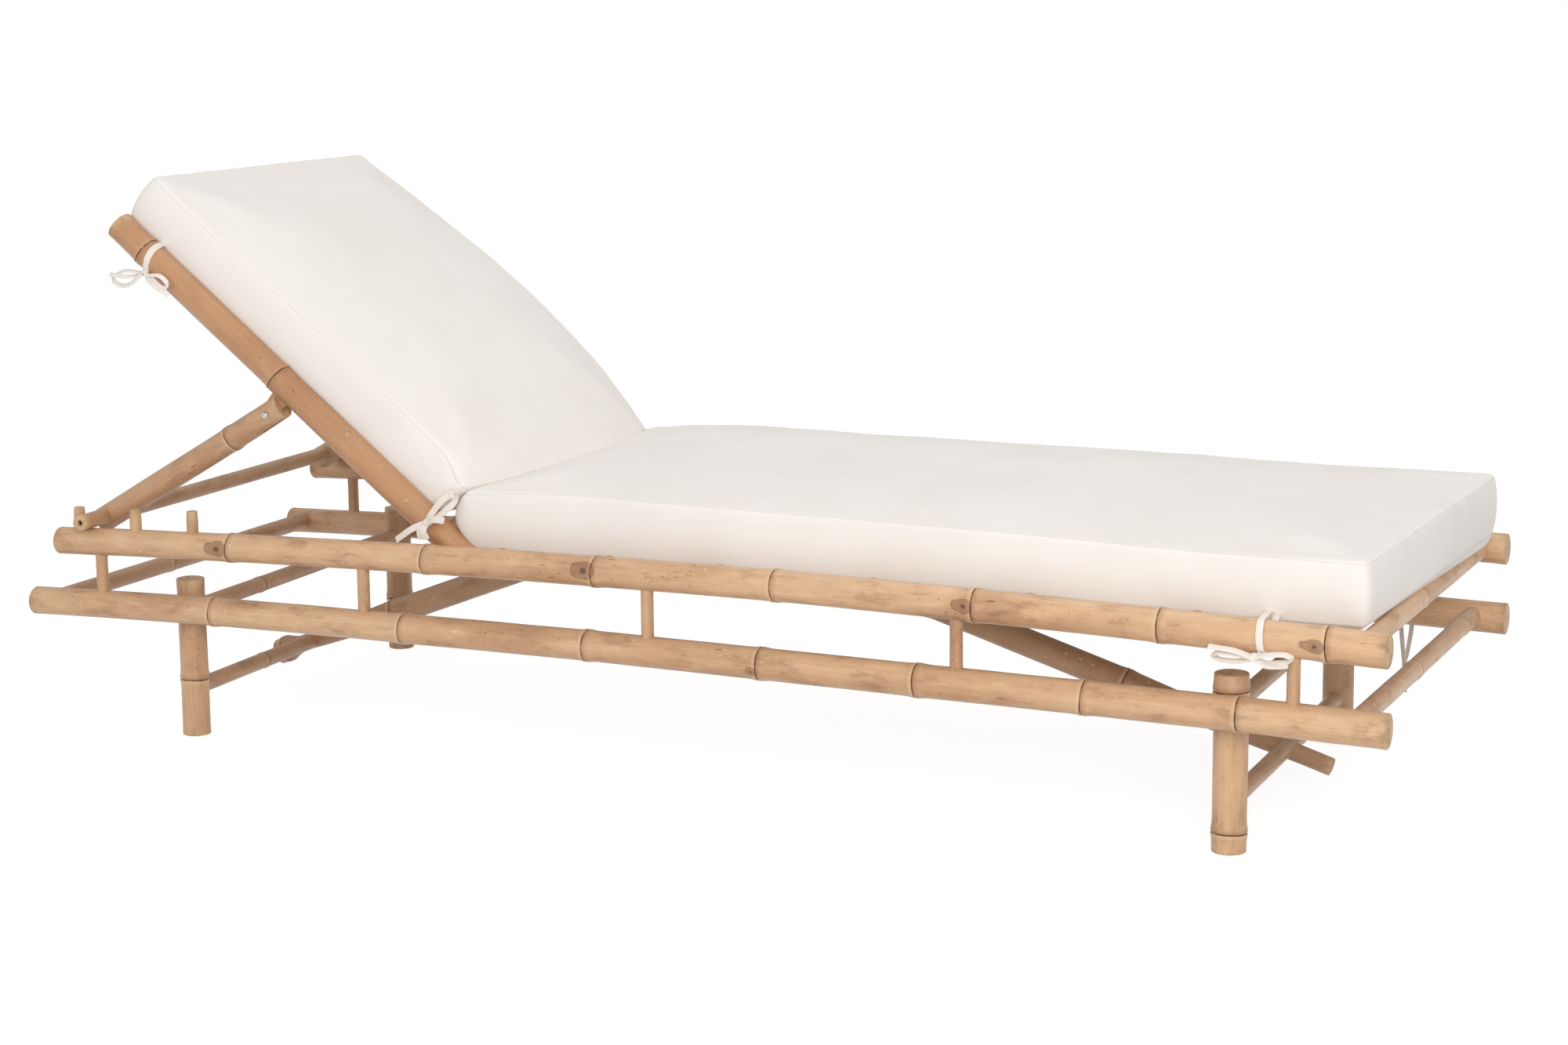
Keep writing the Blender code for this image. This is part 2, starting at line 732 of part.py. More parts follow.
def build_strut(side, rod_distance, rod, pivot):
    y = SIDES[side] * STILE_Y
    pole = Pole((-rod_distance - STRUT_HEEL, y, 0), (STRUT_PAST_PIVOT, y, 0), STRUT_R, None,
                THICK_SIDES)
    pole.rings = (STRUT_HEEL + rod_distance - STRUT_RING_FROM_PIVOT,)
    pole.ease = (END_EASE, 2 * END_EASE)
    strut = pole.build(f"strut_{side}", BAMBOO, pivot)
    drill(strut, [rod], pivot)
    cut_fork(strut, side, pivot)
    bm = bmesh.new()
    start, end = pivot_line(side, 2 * STRUT_R)
    narrow = (BOLT_R + BOLT_CLEARANCE) / math.cos(math.pi / THIN_SIDES)
    wide = (BOLT_WASHER_R + BOLT_CLEARANCE) / math.cos(math.pi / THIN_SIDES)
    floor = STRUT_R - SPOTFACE_DEPTH
    add_lathe(bm, start, end, mirrored([(2 * STRUT_R, wide), (floor, wide), (floor, narrow)]),
              THIN_SIDES)
    boolean(strut, add_cutter(f"strut_{side}_bore", bm, pivot))


def mirrored(half, far_half=None):
    """A lathe profile from its first half, as (distance from the middle, radius)."""
    reach = half[0][0]
    near = [(reach - distance, radius) for distance, radius in half]
    far = [(reach + distance, radius) for distance, radius in reversed(far_half or half)]
    return near + far


def cut_fork(strut, side, pivot):
    """The slot that turns the strut's upper end into a fork round the lug."""
    half = LUG_THICKNESS / 2 + LUG_CLEARANCE
    y = SIDES[side] * STILE_Y
    bm = bmesh.new()
    bmesh.ops.create_cube(bm, size=1.0)
    length = FORK_SLOT_DEPTH + 2 * STRUT_PAST_PIVOT
    for vert in bm.verts:
        vert.co.x = (vert.co.x + 0.5) * length - FORK_SLOT_DEPTH
        vert.co.y = vert.co.y * 2 * half + y
        vert.co.z = vert.co.z * 4 * STRUT_R
    boolean(strut, add_cutter(f"strut_{side}_fork", bm, pivot))


def build_bolt(side, pivot):
    """A bolt through fork and lug: a domed head outside, a flat nut inside, washers under both."""
    face = STRUT_R - SPOTFACE_DEPTH + GAP
    washer = face + BOLT_WASHER_THICKNESS
    top = washer + BOLT_HEAD_HEIGHT
    under = [(washer, BOLT_HEAD_R), (washer, BOLT_WASHER_R), (face, BOLT_WASHER_R), (face, BOLT_R)]
    head = [(top, 0.5 * BOLT_HEAD_R), (top - 0.25 * BOLT_HEAD_HEIGHT, 0.85 * BOLT_HEAD_R)] + under
    nut = [(top, BOLT_HEAD_R)] + under
    start, end = pivot_line(side, top)
    if side == "far":
        start, end = end, start
    bm = bmesh.new()
    add_lathe(bm, start, end, mirrored(head, nut), THIN_SIDES)
    add_object(f"pivot_bolt_{side}", bm, STEEL, pivot)


# Cushions


def stations(half, radius, count):
    """Grid lines across a cushion: close together at the rounded edges, even between them."""
    edge = [-half, -half + 0.3 * radius, -half + radius]
    inner = 2 * (half - radius)
    middle = [-half + radius + inner * i / count for i in range(1, count)]
    return edge + middle + [-value for value in reversed(edge)]


def rounded_plan(x, y, half_x, half_y):
    """Pulls the square corners of the plan in to their radius."""
    dx = abs(x) - (half_x - CUSHION_CORNER_R)
    dy = abs(y) - (half_y - CUSHION_CORNER_R)
    if dx <= 0 or dy <= 0:
        return x, y
    pull = 1 - max(dx, dy) / math.hypot(dx, dy)
    return x - math.copysign(dx * pull, x), y - math.copysign(dy * pull, y)


def drawn_in(x, y, half_x, half_y):
    """Draws the sides in a little between the corners."""
    x -= CUSHION_DRAW_IN * (x / half_x) * (1 - (y / half_y) ** 2)
    y -= CUSHION_DRAW_IN * (y / half_y) * (1 - (x / half_x) ** 2)
    return x, y


def cushion_mesh(length, width, thickness, crown, along, across):
    """A boxed cushion round the origin: crowned top, flat underside, rounded edges."""
    half = (length / 2, width / 2, thickness / 2)
    xs = stations(half[0], CUSHION_EDGE_R, along)
    ys = stations(half[1], CUSHION_EDGE_R, across)
    bm = bmesh.new()
    faces = {}
    for up in (1, -1):
        grid = []
        for x in xs:
            row = []
            for y in ys:
                inside = min(half[0] - abs(x), half[1] - abs(y), CUSHION_EDGE_R)
                fall = CUSHION_EDGE_R - math.sqrt(
                    CUSHION_EDGE_R ** 2 - (CUSHION_EDGE_R - inside) ** 2)
                swell = (1 - (x / half[0]) ** 4) * (1 - (y / half[1]) ** 4)
                z = half[2] - fall + (crown * swell if up > 0 else 0)
                place = drawn_in(*rounded_plan(x, y, half[0], half[1]), half[0], half[1])
                row.append(bm.verts.new((*place, up * z)))
            grid.append(row)
        for a, b in zip(grid, grid[1:]):
            for i in range(len(ys) - 1):
                bm.faces.new((a[i], a[i + 1], b[i + 1], b[i]))
        faces[up] = grid
    join_sides(bm, rim(faces[1]), rim(faces[-1]))
    return bm


def rim(grid):
    """The outer loop of a grid of vertices."""
    first = grid[0]
    last = grid[-1]
    down = [row[-1] for row in grid[1:-1]]
    back = [row[0] for row in reversed(grid[1:-1])]
    return first + down + list(reversed(last)) + back


def join_sides(bm, top, bottom):
    """The boxed sides, a little fuller between the seams."""
    rings = [top]
    for level in range(1, SIDE_LEVELS):
        share = level / SIDE_LEVELS
        ring = []
        for a, b in zip(top, bottom):
            place = a.co.lerp(b.co, share)
            outward = Vector((place.x, place.y, 0)).normalized()
            ring.append(bm.verts.new(place + outward * SIDE_SWELL * math.sin(math.pi * share)))
        rings.append(ring)
    rings.append(bottom)
    count = len(top)
    for a, b in zip(rings, rings[1:]):
        for i in range(count):
            j = (i + 1) % count
            bm.faces.new((a[i], a[j], b[j], b[i]))


def seat_cushion_rest():
    """How far above the rails' middle the cushion lies: on the rings of the poles below it."""
    return max(SEAT_POLE_R, CROSSBAR_R) + NODE_SWELL + GAP


def build_seat_cushion():
    head_x = HINGE_X - SEAT_CUSHION_HEAD_BEHIND_HINGE
    foot_x = FOOT_BAR_UPPER_X + SEAT_CUSHION_FOOT_FROM_BAR
    length = foot_x - head_x
    middle = (head_x + foot_x) / 2
    bm = cushion_mesh(length, SEAT_CUSHION_WIDTH, SEAT_CUSHION_THICKNESS, SEAT_CUSHION_CROWN,
                      18, 9)
    for vert in bm.verts:
        height = vert.co.z + SEAT_CUSHION_THICKNESS / 2
        from_head = vert.co.x + length / 2
        near_head = max(0.0, 1 - from_head / SEAT_CUSHION_HEAD_FADE)
        # The cushion follows the rails' camber.
        vert.co.z += upper_rail_z(vert.co.x + middle) - upper_rail_z(middle)
        # The lower head edge is cut back, so that the stiles clear it as the back is raised.
        low = max(0.0, 1 - height / SEAT_CUSHION_HEEL_RISE)
        vert.co.x += SEAT_CUSHION_HEEL_CUT * low * near_head
        # Between the stiles the head end is full.
        level = min(1.0, max(0.0, height / SEAT_CUSHION_THICKNESS))
        inward = 1 - abs(vert.co.y / (SEAT_CUSHION_WIDTH / 2)) ** 3
        swell = math.sin(math.pi * level) * inward * near_head
        vert.co.x -= SEAT_CUSHION_HEAD_BULGE * swell
    cushion = add_object("seat_cushion", bm, FABRIC)
    lift = seat_cushion_rest() + SEAT_CUSHION_THICKNESS / 2
    cushion.location = (middle, 0, upper_rail_z(middle) + lift)


def build_back_cushion(hinge):
    length = BACK_CUSHION_TOP - BACK_CUSHION_FROM_HINGE
    bm = cushion_mesh(length, BACK_CUSHION_WIDTH, BACK_CUSHION_THICKNESS, BACK_CUSHION_CROWN,
                      11, 9)
    cushion = add_object("back_cushion", bm, FABRIC, hinge)
    middle = (BACK_CUSHION_TOP + BACK_CUSHION_FROM_HINGE) / 2
    bottom = STILE_R + TAPE_THICKNESS + 3 * GAP
    cushion.location = (-middle, 0, bottom + BACK_CUSHION_THICKNESS / 2)


# Ties: flat tape knotted round a pole, with the pole along local X and outward as local -Y
# on the near side.


def add_tape(bm, points, across):
    """A flat strip along points, with its width in the direction across."""
    last = len(points) - 1
    rings = []
    for i, point in enumerate(points):
        before = points[max(i - 1, 0)]
        after = points[min(i + 1, last)]
        normal = (after - before).cross(across).normalized() * TAPE_THICKNESS / 2
        wide = across * TAPE_WIDTH / 2
        corners = (point + wide + normal, point - wide + normal, point - wide - normal,
                   point + wide - normal)
        rings.append([bm.verts.new(corner) for corner in corners])
    for a, b in zip(rings, rings[1:]):
        for i in range(4):
            j = (i + 1) % 4
            bm.faces.new((a[i], a[j], b[j], b[i]))
    bm.faces.new(rings[0])
    bm.faces.new(rings[-1])


def arc(radius, first, last, steps, side):
    """Points round the pole, by angle from straight out, turning up."""
    points = []
    for i in range(steps + 1):
        angle = math.radians(first + (last - first) * i / steps)
        points.append(Vector((0, side * radius * math.cos(angle), radius * math.sin(angle))))
    return points


def bow_loop(knot, along, up, height):
    """One loop of a bow: a teardrop out from the knot and back."""
    points = []
    for i in range(BOW_STEPS + 1):
        turn = 2 * math.pi * i / BOW_STEPS
        points.append(knot + along * (1 - math.cos(turn)) / 2 + up * height * math.sin(turn) / 2)
    return points


def wrap_r(pole_r):
    """The middle of tape that lies round a pole, at the corners of its bends."""
    return (pole_r + GAP) / math.cos(math.pi * WRAP_TURN / WRAP_STEPS / 360) + TAPE_THICKNESS / 2


def tie_object(name, side, pole_r, wrap, knot_angle, bow, parent=None):
    """A tie as one body: the strip round the pole, the knot, two loops and two tails.

    wrap is the strip's path and bow is (reach, height) of its loops.
    """
    reach, height = bow
    angle = math.radians(knot_angle)
    outward = Vector((0, side * math.cos(angle), math.sin(angle)))
    up = Vector((0, -side * math.sin(angle), math.cos(angle)))
    knot = outward * (wrap_r(pole_r) + TAPE_WIDTH / 2 + GAP)
    strips = bmesh.new()
    add_tape(strips, wrap, Vector((1, 0, 0)))
    for way in (1, -1):
        along = Vector((way * reach, 0, 0))
        add_tape(strips, bow_loop(knot, along, up, height), outward)
        tail = [knot, knot + 0.3 * along - 0.6 * height * up, knot + 0.8 * along - height * up]
        add_tape(strips, tail, outward)
    bm = bmesh.new()
    bmesh.ops.create_icosphere(bm, subdivisions=1, radius=KNOT_R)
    for vert in bm.verts:
        vert.co += knot
    tie = add_object(name, bm, TAPE, parent)
    boolean(tie, add_cutter(name + "_strips", strips, tie), "UNION", own_overlaps=True)
    return tie


def build_back_ties(hinge):
    """Ties at both ends of the back cushion, sewn on below its edge and knotted at the stiles."""
    radius = wrap_r(STILE_R)
    edge = BACK_CUSHION_WIDTH / 2 - STILE_Y
    below = STILE_R + TAPE_THICKNESS / 2 + 2 * GAP
    places = {"head": (HEAD_TIE_FROM_HINGE, -75, (0.034, 0.018)),
              "hinge": (HINGE_TIE_FROM_HINGE, -8, (0.022, 0.014))}
    for end, (distance, knot_angle, bow) in places.items():
        for side, sign in SIDES.items():
            outer = Vector((0, sign * (edge - TIE_SEWN_IN), below))
            inner = Vector((0, sign * (edge - 2 * TIE_SEWN_IN), below))
            wrap = [outer] + arc(radius, 90, 90 - WRAP_TURN, WRAP_STEPS, sign) + [inner]
            tie = tie_object(f"tie_{end}_{side}", sign, STILE_R, wrap, knot_angle, bow, hinge)
            tie.location = (-distance, sign * STILE_Y, 0)


def build_foot_ties():
    """Ties at the foot of the seat cushion, over the upper rails and knotted below them."""
    x = UPPER_FOOT_X - FOOT_TIE_FROM_RAIL_END
    rail_r = upper_rail_r(x)
    edge = SEAT_CUSHION_WIDTH / 2 - RAIL_Y
    below = seat_cushion_rest() - GAP - TAPE_THICKNESS / 2
    rise = upper_rail_z(x + TAPE_WIDTH / 2) - upper_rail_z(x - TAPE_WIDTH / 2)
    for side, sign in SIDES.items():
        outer = Vector((0, sign * (edge - TIE_SEWN_IN), below))
        inner = Vector((0, sign * (edge - 2 * TIE_SEWN_IN), below))
        wrap = [outer] + arc(wrap_r(rail_r), 90, 90 - WRAP_TURN, WRAP_STEPS, sign) + [inner]
        tie = tie_object(f"tie_foot_{side}", sign, rail_r, wrap, -55, (0.034, 0.018))
        tie.location = (x, sign * RAIL_Y, upper_rail_z(x))
        tie.rotation_euler.y = -math.atan2(rise, TAPE_WIDTH)


def main():
    clear_scene()
    build_frame()
    hinge = build_back()
    build_prop(hinge)
    build_seat_cushion()
    build_foot_ties()


main()
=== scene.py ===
"""Looks of the bamboo sun lounger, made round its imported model.

Metres, +Z up.  +X runs from the head end to the foot end, -Y is the near side.
"""
import json
import math
import random

import bmesh
import bpy
import numpy as np
from mathutils import Matrix, Vector, noise


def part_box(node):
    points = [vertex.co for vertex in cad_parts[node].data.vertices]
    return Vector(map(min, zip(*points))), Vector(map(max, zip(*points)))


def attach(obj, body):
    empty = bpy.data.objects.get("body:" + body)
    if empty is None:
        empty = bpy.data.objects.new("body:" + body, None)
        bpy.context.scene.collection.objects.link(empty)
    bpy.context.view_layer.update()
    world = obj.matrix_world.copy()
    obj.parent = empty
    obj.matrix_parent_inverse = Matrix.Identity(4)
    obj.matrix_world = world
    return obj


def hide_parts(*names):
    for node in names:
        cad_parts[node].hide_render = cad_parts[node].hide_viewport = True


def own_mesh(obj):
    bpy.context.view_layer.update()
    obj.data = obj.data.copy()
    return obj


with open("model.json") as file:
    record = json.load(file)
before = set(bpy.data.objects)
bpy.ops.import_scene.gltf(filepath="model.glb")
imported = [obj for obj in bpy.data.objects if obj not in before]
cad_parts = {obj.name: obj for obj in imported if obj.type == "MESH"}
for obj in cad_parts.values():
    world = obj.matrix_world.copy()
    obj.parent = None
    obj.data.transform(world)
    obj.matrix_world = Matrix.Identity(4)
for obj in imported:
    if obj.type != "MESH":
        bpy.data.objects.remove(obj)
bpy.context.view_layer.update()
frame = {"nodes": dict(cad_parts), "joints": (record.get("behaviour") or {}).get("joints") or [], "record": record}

SIDES = {"near": -1, "far": 1}
JOINTS = {joint["name"]: joint for joint in frame["joints"]}

# Camera, found from the straight edges of the photograph
CAMERA_PLACE = (1.9245, -4.1283, 1.1845)
CAMERA_YAW = 0.4267
CAMERA_PITCH = -0.1876
CAMERA_ROLL = -0.0087
CAMERA_LENS = 72.92
CAMERA_SENSOR = 36

# Bamboo poles
THICK_SIDES = 44
THIN_SIDES = 28
THICK_R = 0.0155
STATION_PITCH = 0.014
NEXT_STATION = 0.0003
END_MARGIN = 0.002
SKIN_MARGIN = 0.0012
SKIN_SUNK = 0.0002
UNEVEN = 0.016
KINK = 0.0011
BUD_RISE = 0.0016
BUD_ROUND = 1.3
SEED_STEP = 0.37
# Sawn ends: how deep the face is dished, the hole's share of the radius, and its depth
CUT_EDGE = 0.0009
# Depth below the cut from which a hole's wall is painted dark, as painted shade
HOLE_SHADE_FROM = 0.001
SOLID_END = (0.0001, 0.13, 0.004)
PITH_END = (0.0004, 0.20, 0.012)
BRACE_END = (0.0004, 0.63, 0.044)
ROD_END = (0.0001, 0.36, 0.02)
# Offsets along and out from a ring's dark line, in millimetres, on a pole of 43 mm
RING_FORM = ((-18, 0.05), (-13, 0.25), (-9, 0.55), (-6, 0.95), (-4, 1.35), (-2.6, 1.60),
             (-1.6, 1.45), (-0.9, 0.75), (-0.4, -0.05), (0.0, -0.35), (0.4, 0.0), (0.9, 0.80),
             (1.6, 1.35), (2.6, 1.55), (4, 1.45), (6, 1.15), (9, 0.75), (13, 0.35), (18, 0.08))
RING_FORM_R = 0.0215
RING_FORM_AT, RING_FORM_OUT = zip(*RING_FORM)
# How far a ring's form and its colours reach, in millimetres
RING_REACH = 18
RING_SIGHT = 12.0
# Reading the CAD's poles: end faces, whole circles of corners, bends, and rings
CAP_DEPTH = 0.0007
GROUP_GAP = 0.0001
CIRCLE_CORNERS = 9
CIRCLE_ROUND = 0.97
CIRCLE_STANDS_OUT = 0.0006
BEND_LEAST = 0.001
BEND_CIRCLES = 8
BEND_DEGREE = 5
RING_CORNERS = 4
RING_STANDS_OUT = 0.0008
RING_RISE = 0.006
RING_RISE_SLACK = 0.0004

# The rails' rings stand nearer the foot than the CAD's, most of all at the head
RING_SHIFT = 0.018
RING_SHIFT_FALL = 0.0065
# The prop rod is a little thicker than the CAD's, and clear of the rails and pegs
ROD_MORE = 0.0024
ROD_LIFT = (0.0024, 0, 0.0024)

# The fork's cheeks: how far out they are flat, what stays of their roundness, and the sloping
# stretch below the bolt where they begin
STRUT_CHEEK = 0.0142
STRUT_PLAIN = 0.03
STRUT_ROUND = 0.12
STRUT_SCOOP = (-0.052, -0.024)
STRUT_SCOOP_LEAN = 0.35
# The fork's slot, whose corner is a share of its size, its counterbores, and the bolt
STRUT_SLOT_Y = 0.0065
STRUT_SLOT_DEPTH = 0.026
STRUT_SLOT_SIZE = 0.08
STRUT_SLOT_CORNER = 0.04
STRUT_BORE_R = 0.0082
STRUT_BORE_DEPTH = 0.03
BOLT_HEAD_R = 0.0056
BOLT_HEAD_H = 0.0036
BOLT_WASHER_R = 0.0064
BOLT_WASHER_H = 0.0012
BOLT_SHANK_R = 0.0040
BOLT_DOME = (8, 25, 42, 58, 74, 90)
BOLT_SIDES = 32
LUG_WEAR = 0.0011

# How much browner some poles are painted: partly their own tone, partly painted shade on inner and far poles
BROWNED_AND_SHADED = (("brace", 0.62), ("stretcher", 0.50), ("crossbar_head", 0.50), ("seat_pole", 0.60),
           ("spindle_near", 0.38), ("spindle_far", 0.60), ("leg_head_far", 0.55),
           ("leg_foot_far", 0.35), ("leg", 0.10), ("strut", 0.40), ("prop_rod", 0.45),
           ("crossbar_foot_lower", 0.22), ("hinge_rod", 0.5), ("peg", 0.25))
# Buds on the near side: pole, place along X, how far up they face, size
BUDS = (("rail_upper_near", -0.686, 0.05, 0.019), ("rail_upper_near", -0.087, 0.20, 0.020),
        ("rail_upper_near", 0.470, 0.10, 0.015), ("rail_upper_near", 0.935, 0.0, 0.014),
        ("rail_lower_near", 0.165, -0.3, 0.010))

# Cushions: their covers' grids, cloth and small folds
CUSHION_PITCH = 0.010
CUSHION_CORNER_R = 0.012
PANEL_EDGE = (0.0015, 0.004, 0.008)
PANEL_FALL = 0.004
STRIP_LEVELS = (0.025, 0.08, 0.17, 0.30, 0.43, 0.57, 0.70, 0.83, 0.92, 0.975)
STRIP_BULGE = 0.0055
CLOTH = {"quality": 5, "mass": 0.25, "tension_stiffness": 25, "compression_stiffness": 25,
         "shear_stiffness": 12, "bending_stiffness": 1.2, "use_pressure": True,
         "uniform_pressure_force": 0.5}
CLOTH_FRAMES = 20
CORNER_CALM = 0.14
PUCKER_RATE = 62
PUCKER_FINE_RATE = 2.3 * PUCKER_RATE
PUCKER_EDGE_STEP = 7.3
PUCKER_REACH = 0.020
COVER_WAVE = 0.0008
COVER_WAVE_RATE = 8
COVER_RIPPLE = 0.35 * COVER_WAVE
COVER_RIPPLE_RATE = 25

# Seat cushion, read from the photograph: heights of its seams along the near side
SEAT_WIDTH = 0.602
SEAT_THICKNESS = 0.070
SEAT_HEAD_X = -0.2996
SEAT_FOOT_X = (0.982, 1.014)
SEAT_TOP_SEAM = ((-0.314, 0.3945), (-0.149, 0.4022), (0.068, 0.3993), (0.412, 0.3966),
                 (0.576, 0.3938), (0.752, 0.3895), (0.977, 0.3885))
SEAT_BOTTOM_SEAM = ((-0.30, 0.3155), (-0.11, 0.3170), (0.19, 0.3170), (0.356, 0.3160),
                    (0.44, 0.3165), (0.576, 0.3130), (0.68, 0.3105), (0.82, 0.3090),
                    (0.915, 0.3085), (0.982, 0.3090))
SEAT_FAR_LIFT = ((-0.30, 0.004), (-0.15, 0.009), (0.30, 0.0120), (0.60, 0.0155), (0.80, 0.0175),
                 (0.90, 0.0185), (1.0, 0.0160))
SEAT_REST = 0.0146
SEAT_SAG = 0.010
SEAT_SAG_FROM_POLE = (0.02, 0.06)
SEAT_FOOT_REST = 0.0035
SEAT_FOOT_REST_X = (SEAT_FOOT_X[0] - 0.08, SEAT_FOOT_X[0] - 0.01)
SEAT_HANG_REACH = 0.006
SEAT_HEEL_REACH = 0.055
SEAT_HEEL_LEAN = 0.0141
SEAT_HEEL_BULGE = 0.018
SEAT_HEAD_ROLL = 0.004
SEAT_PUFF = 0.010
SEAT_PUCKER = (0.0006, 0.0016, 0.0005, 0.0005)

# Back cushion, along and above the line of the stiles from the hinge
BACK_WIDTH = 0.580
BACK_THICKNESS = 0.070
BACK_START = 0.062
BACK_END = 0.723
BACK_REST = 0.0168
BACK_SAG = 0.006
BACK_SAG_REACH = 0.010
BACK_NEAR_SEAM = ((0.060, 0.058), (0.074, 0.074), (0.093, 0.0836), (0.117, 0.0895),
                  (0.190, 0.0915), (0.320, 0.0935), (0.420, 0.0910), (0.600, 0.0860),
                  (0.713, 0.0875))
BACK_FAR_SEAM = ((0.056, 0.061), (0.091, 0.071), (0.134, 0.0825), (0.195, 0.0940),
                 (0.270, 0.1005), (0.344, 0.1040), (0.450, 0.1020), (0.551, 0.0930),
                 (0.620, 0.0875), (0.7155, 0.0780))
BACK_CROWN = ((0.040, 0.022), (0.075, 0.019), (0.120, 0.009), (0.220, 0.008), (0.600, 0.007),
              (0.716, 0.000))
BACK_LIP = 0.020
BACK_LIP_REACH = 0.040
BACK_LIP_LEVELS = (0.62, 0.98)
BACK_SEAM_REACH = 0.012
BACK_CORNER_DRAW = 0.006
BACK_PUFF = 0.013
BACK_PUCKER = (0.0006, 0.0008, 0.0006, 0.0006)
BACK_TIE_PLACE = 0.070
BACK_TIE_HEIGHT = 0.055

# Ties: tape, and the runs of their bows, on the near side
TAPE_WIDTH = 0.0092
HEAD_TAPE_WIDTH = 0.0068
HINGE_TAPE_WIDTH = 0.0095
TAPE_THICKNESS = 0.0012
TAPE_CURL = 0.12
# A knot: tilt and size of its two turns, and the tape's section along its axis and outwards
KNOT_TURNS = ((32, 1.0), (-28, 0.86))
KNOT_STEPS = 8
KNOT_SECTION = ((-0.0040, 0), (-0.0022, 0.0012), (0.0022, 0.0012), (0.0040, 0), (0.0022, -0.0014),
                (-0.0022, -0.0014))
FOOT_TIE_X = 0.8625
# Along X from the foot tie, across, and up from the rail's middle
FOOT_START = ((-0.004, -0.298, 0.0225), (-0.002, -0.318, 0.0240))
FOOT_END = ((0.007, -0.312, 0.017), (0.007, -0.300, 0.0215))
# Degrees round the rail from its inner side, and the tape's drift along it for each of them
FOOT_WRAP = (100, 125, 150, 180, 210, 232)
FOOT_WRAP_DRIFT = 0.00003
# From the rail's lowest line at the tie: the knot, and the run under the rail
FOOT_KNOT = (-0.004, -0.0195, 0.0005)
FOOT_UNDER = ((0, -0.008, -0.0006), (0.003, 0.010, 0.002))
FOOT_INNER_X = 0.006
FOOT_BOW_OUT = (0, -0.004, 0)
# From the foot tie's knot, along X, outwards and up
FOOT_BOW = (
    ((0, 0, 0), (-0.018, -0.004, 0.0035), (-0.042, -0.005, 0.0045), (-0.051, -0.003, -0.0005),
     (-0.042, -0.001, -0.0058), (-0.018, -0.001, -0.0055), (0, -0.001, -0.001)),
    ((0, 0, 0), (-0.022, -0.007, 0.0085), (-0.057, -0.006, 0.0115)),
    ((0, 0, 0), (0.016, -0.004, 0.0055), (0.038, -0.005, 0.0085), (0.049, -0.003, 0.0045),
     (0.040, -0.001, -0.0020), (0.016, -0.001, -0.0048), (0, -0.001, -0.001)),
    ((0, 0, 0), (0.020, -0.006, -0.0075), (0.046, -0.005, -0.0050)))
FOOT_TAILS = (
    ((0, -0.002, 0), (0.004, -0.003, -0.050), (0.008, -0.004, -0.105), (0.014, -0.004, -0.160),
     (0.018, -0.004, -0.212)),
    ((0, -0.003, 0), (0.014, -0.005, -0.040), (0.024, -0.006, -0.100), (0.020, -0.006, -0.145),
     (0.014, -0.006, -0.172)))
BOW_FACES = ((0.05, -0.55, 0.8), (0.05, -0.55, 0.8))
TAIL_FACES = ((0.3, -1, 0), (0.7, -0.7, 0))
# Along, across and above the stiles' line
HEAD_WRAP = ((0.6500, -0.286, 0.0226), (0.6490, -0.300, 0.0228), (0.6475, -0.3145, 0.0175),
             (0.6440, -0.3225, 0.0045), (0.6395, -0.3205, -0.0095), (0.6365, -0.3160, -0.0190))
HEAD_WRAP_BACK = ((0.6365, -0.3160, -0.0190), (0.6380, -0.3050, -0.0225), (0.6400, -0.2900, -0.0205),
                  (0.6420, -0.2775, -0.0040), (0.6440, -0.2785, 0.0100), (0.6450, -0.2850, 0.0200))
HEAD_BOW = (
    ((-0.836, -0.327, 0.6900), (-0.8525, -0.328, 0.6908), (-0.8695, -0.329, 0.6834),
     (-0.8722, -0.329, 0.6750), (-0.8565, -0.329, 0.6690), (-0.8397, -0.329, 0.6740),
     (-0.826, -0.326, 0.6870)),
    ((-0.8115, -0.328, 0.6856), (-0.7937, -0.330, 0.6863), (-0.7810, -0.330, 0.6785),
     (-0.7812, -0.329, 0.6700), (-0.7905, -0.329, 0.6690), (-0.8038, -0.328, 0.6775),
     (-0.8200, -0.326, 0.6865)),
    ((-0.8080, -0.331, 0.6765), (-0.7925, -0.332, 0.6665), (-0.7765, -0.331, 0.6585)),
    ((-0.8420, -0.331, 0.6830), (-0.8640, -0.332, 0.6838), (-0.8780, -0.331, 0.6850)))
HINGE_GATHER = (-0.3275, -0.306, 0.3885)
HINGE_KNOT = (-0.3550, -0.3315, 0.3530)
HINGE_MEET = (-0.3550, -0.3325, 0.3530)
HINGE_TO_MEET = (
    ((-0.3250, -0.300, 0.3880), (-0.3200, -0.3180, 0.3800), (-0.3400, -0.3290, 0.3610)),
    ((-0.3290, -0.302, 0.3920), (-0.3345, -0.3220, 0.3850), (-0.3465, -0.3300, 0.3680)))
HINGE_FROM_MEET = (
    ((-0.3400, -0.3390, 0.3600), (-0.3225, -0.3380, 0.3595)),
    ((-0.3750, -0.3380, 0.3445), (-0.4020, -0.3380, 0.3265)),
    ((-0.3560, -0.3400, 0.3430), (-0.3520, -0.3380, 0.3310)),
    ((-0.3620, -0.3390, 0.3420), (-0.3600, -0.3380, 0.3300)))
TIE_FOLD = 0.0016
TIE_FOLD_REACH = 0.030
TIE_FOLD_COUNT = 13

# Stage and light
WHITE = (1, 1, 1, 1)
WORLD_STRENGTH = 0.62
FLOOR_GLOW = 0.86
FLOOR_REACH = 14.0
FLOOR_SUNK = 0.0005


def new_object(name, data):
    made = bpy.data.objects.new(name, data)
    bpy.context.scene.collection.objects.link(made)
    return made


def smoothstep(low, high, value):
    share = min(1.0, max(0.0, (value - low) / (high - low)))
    return share * share * (3 - 2 * share)


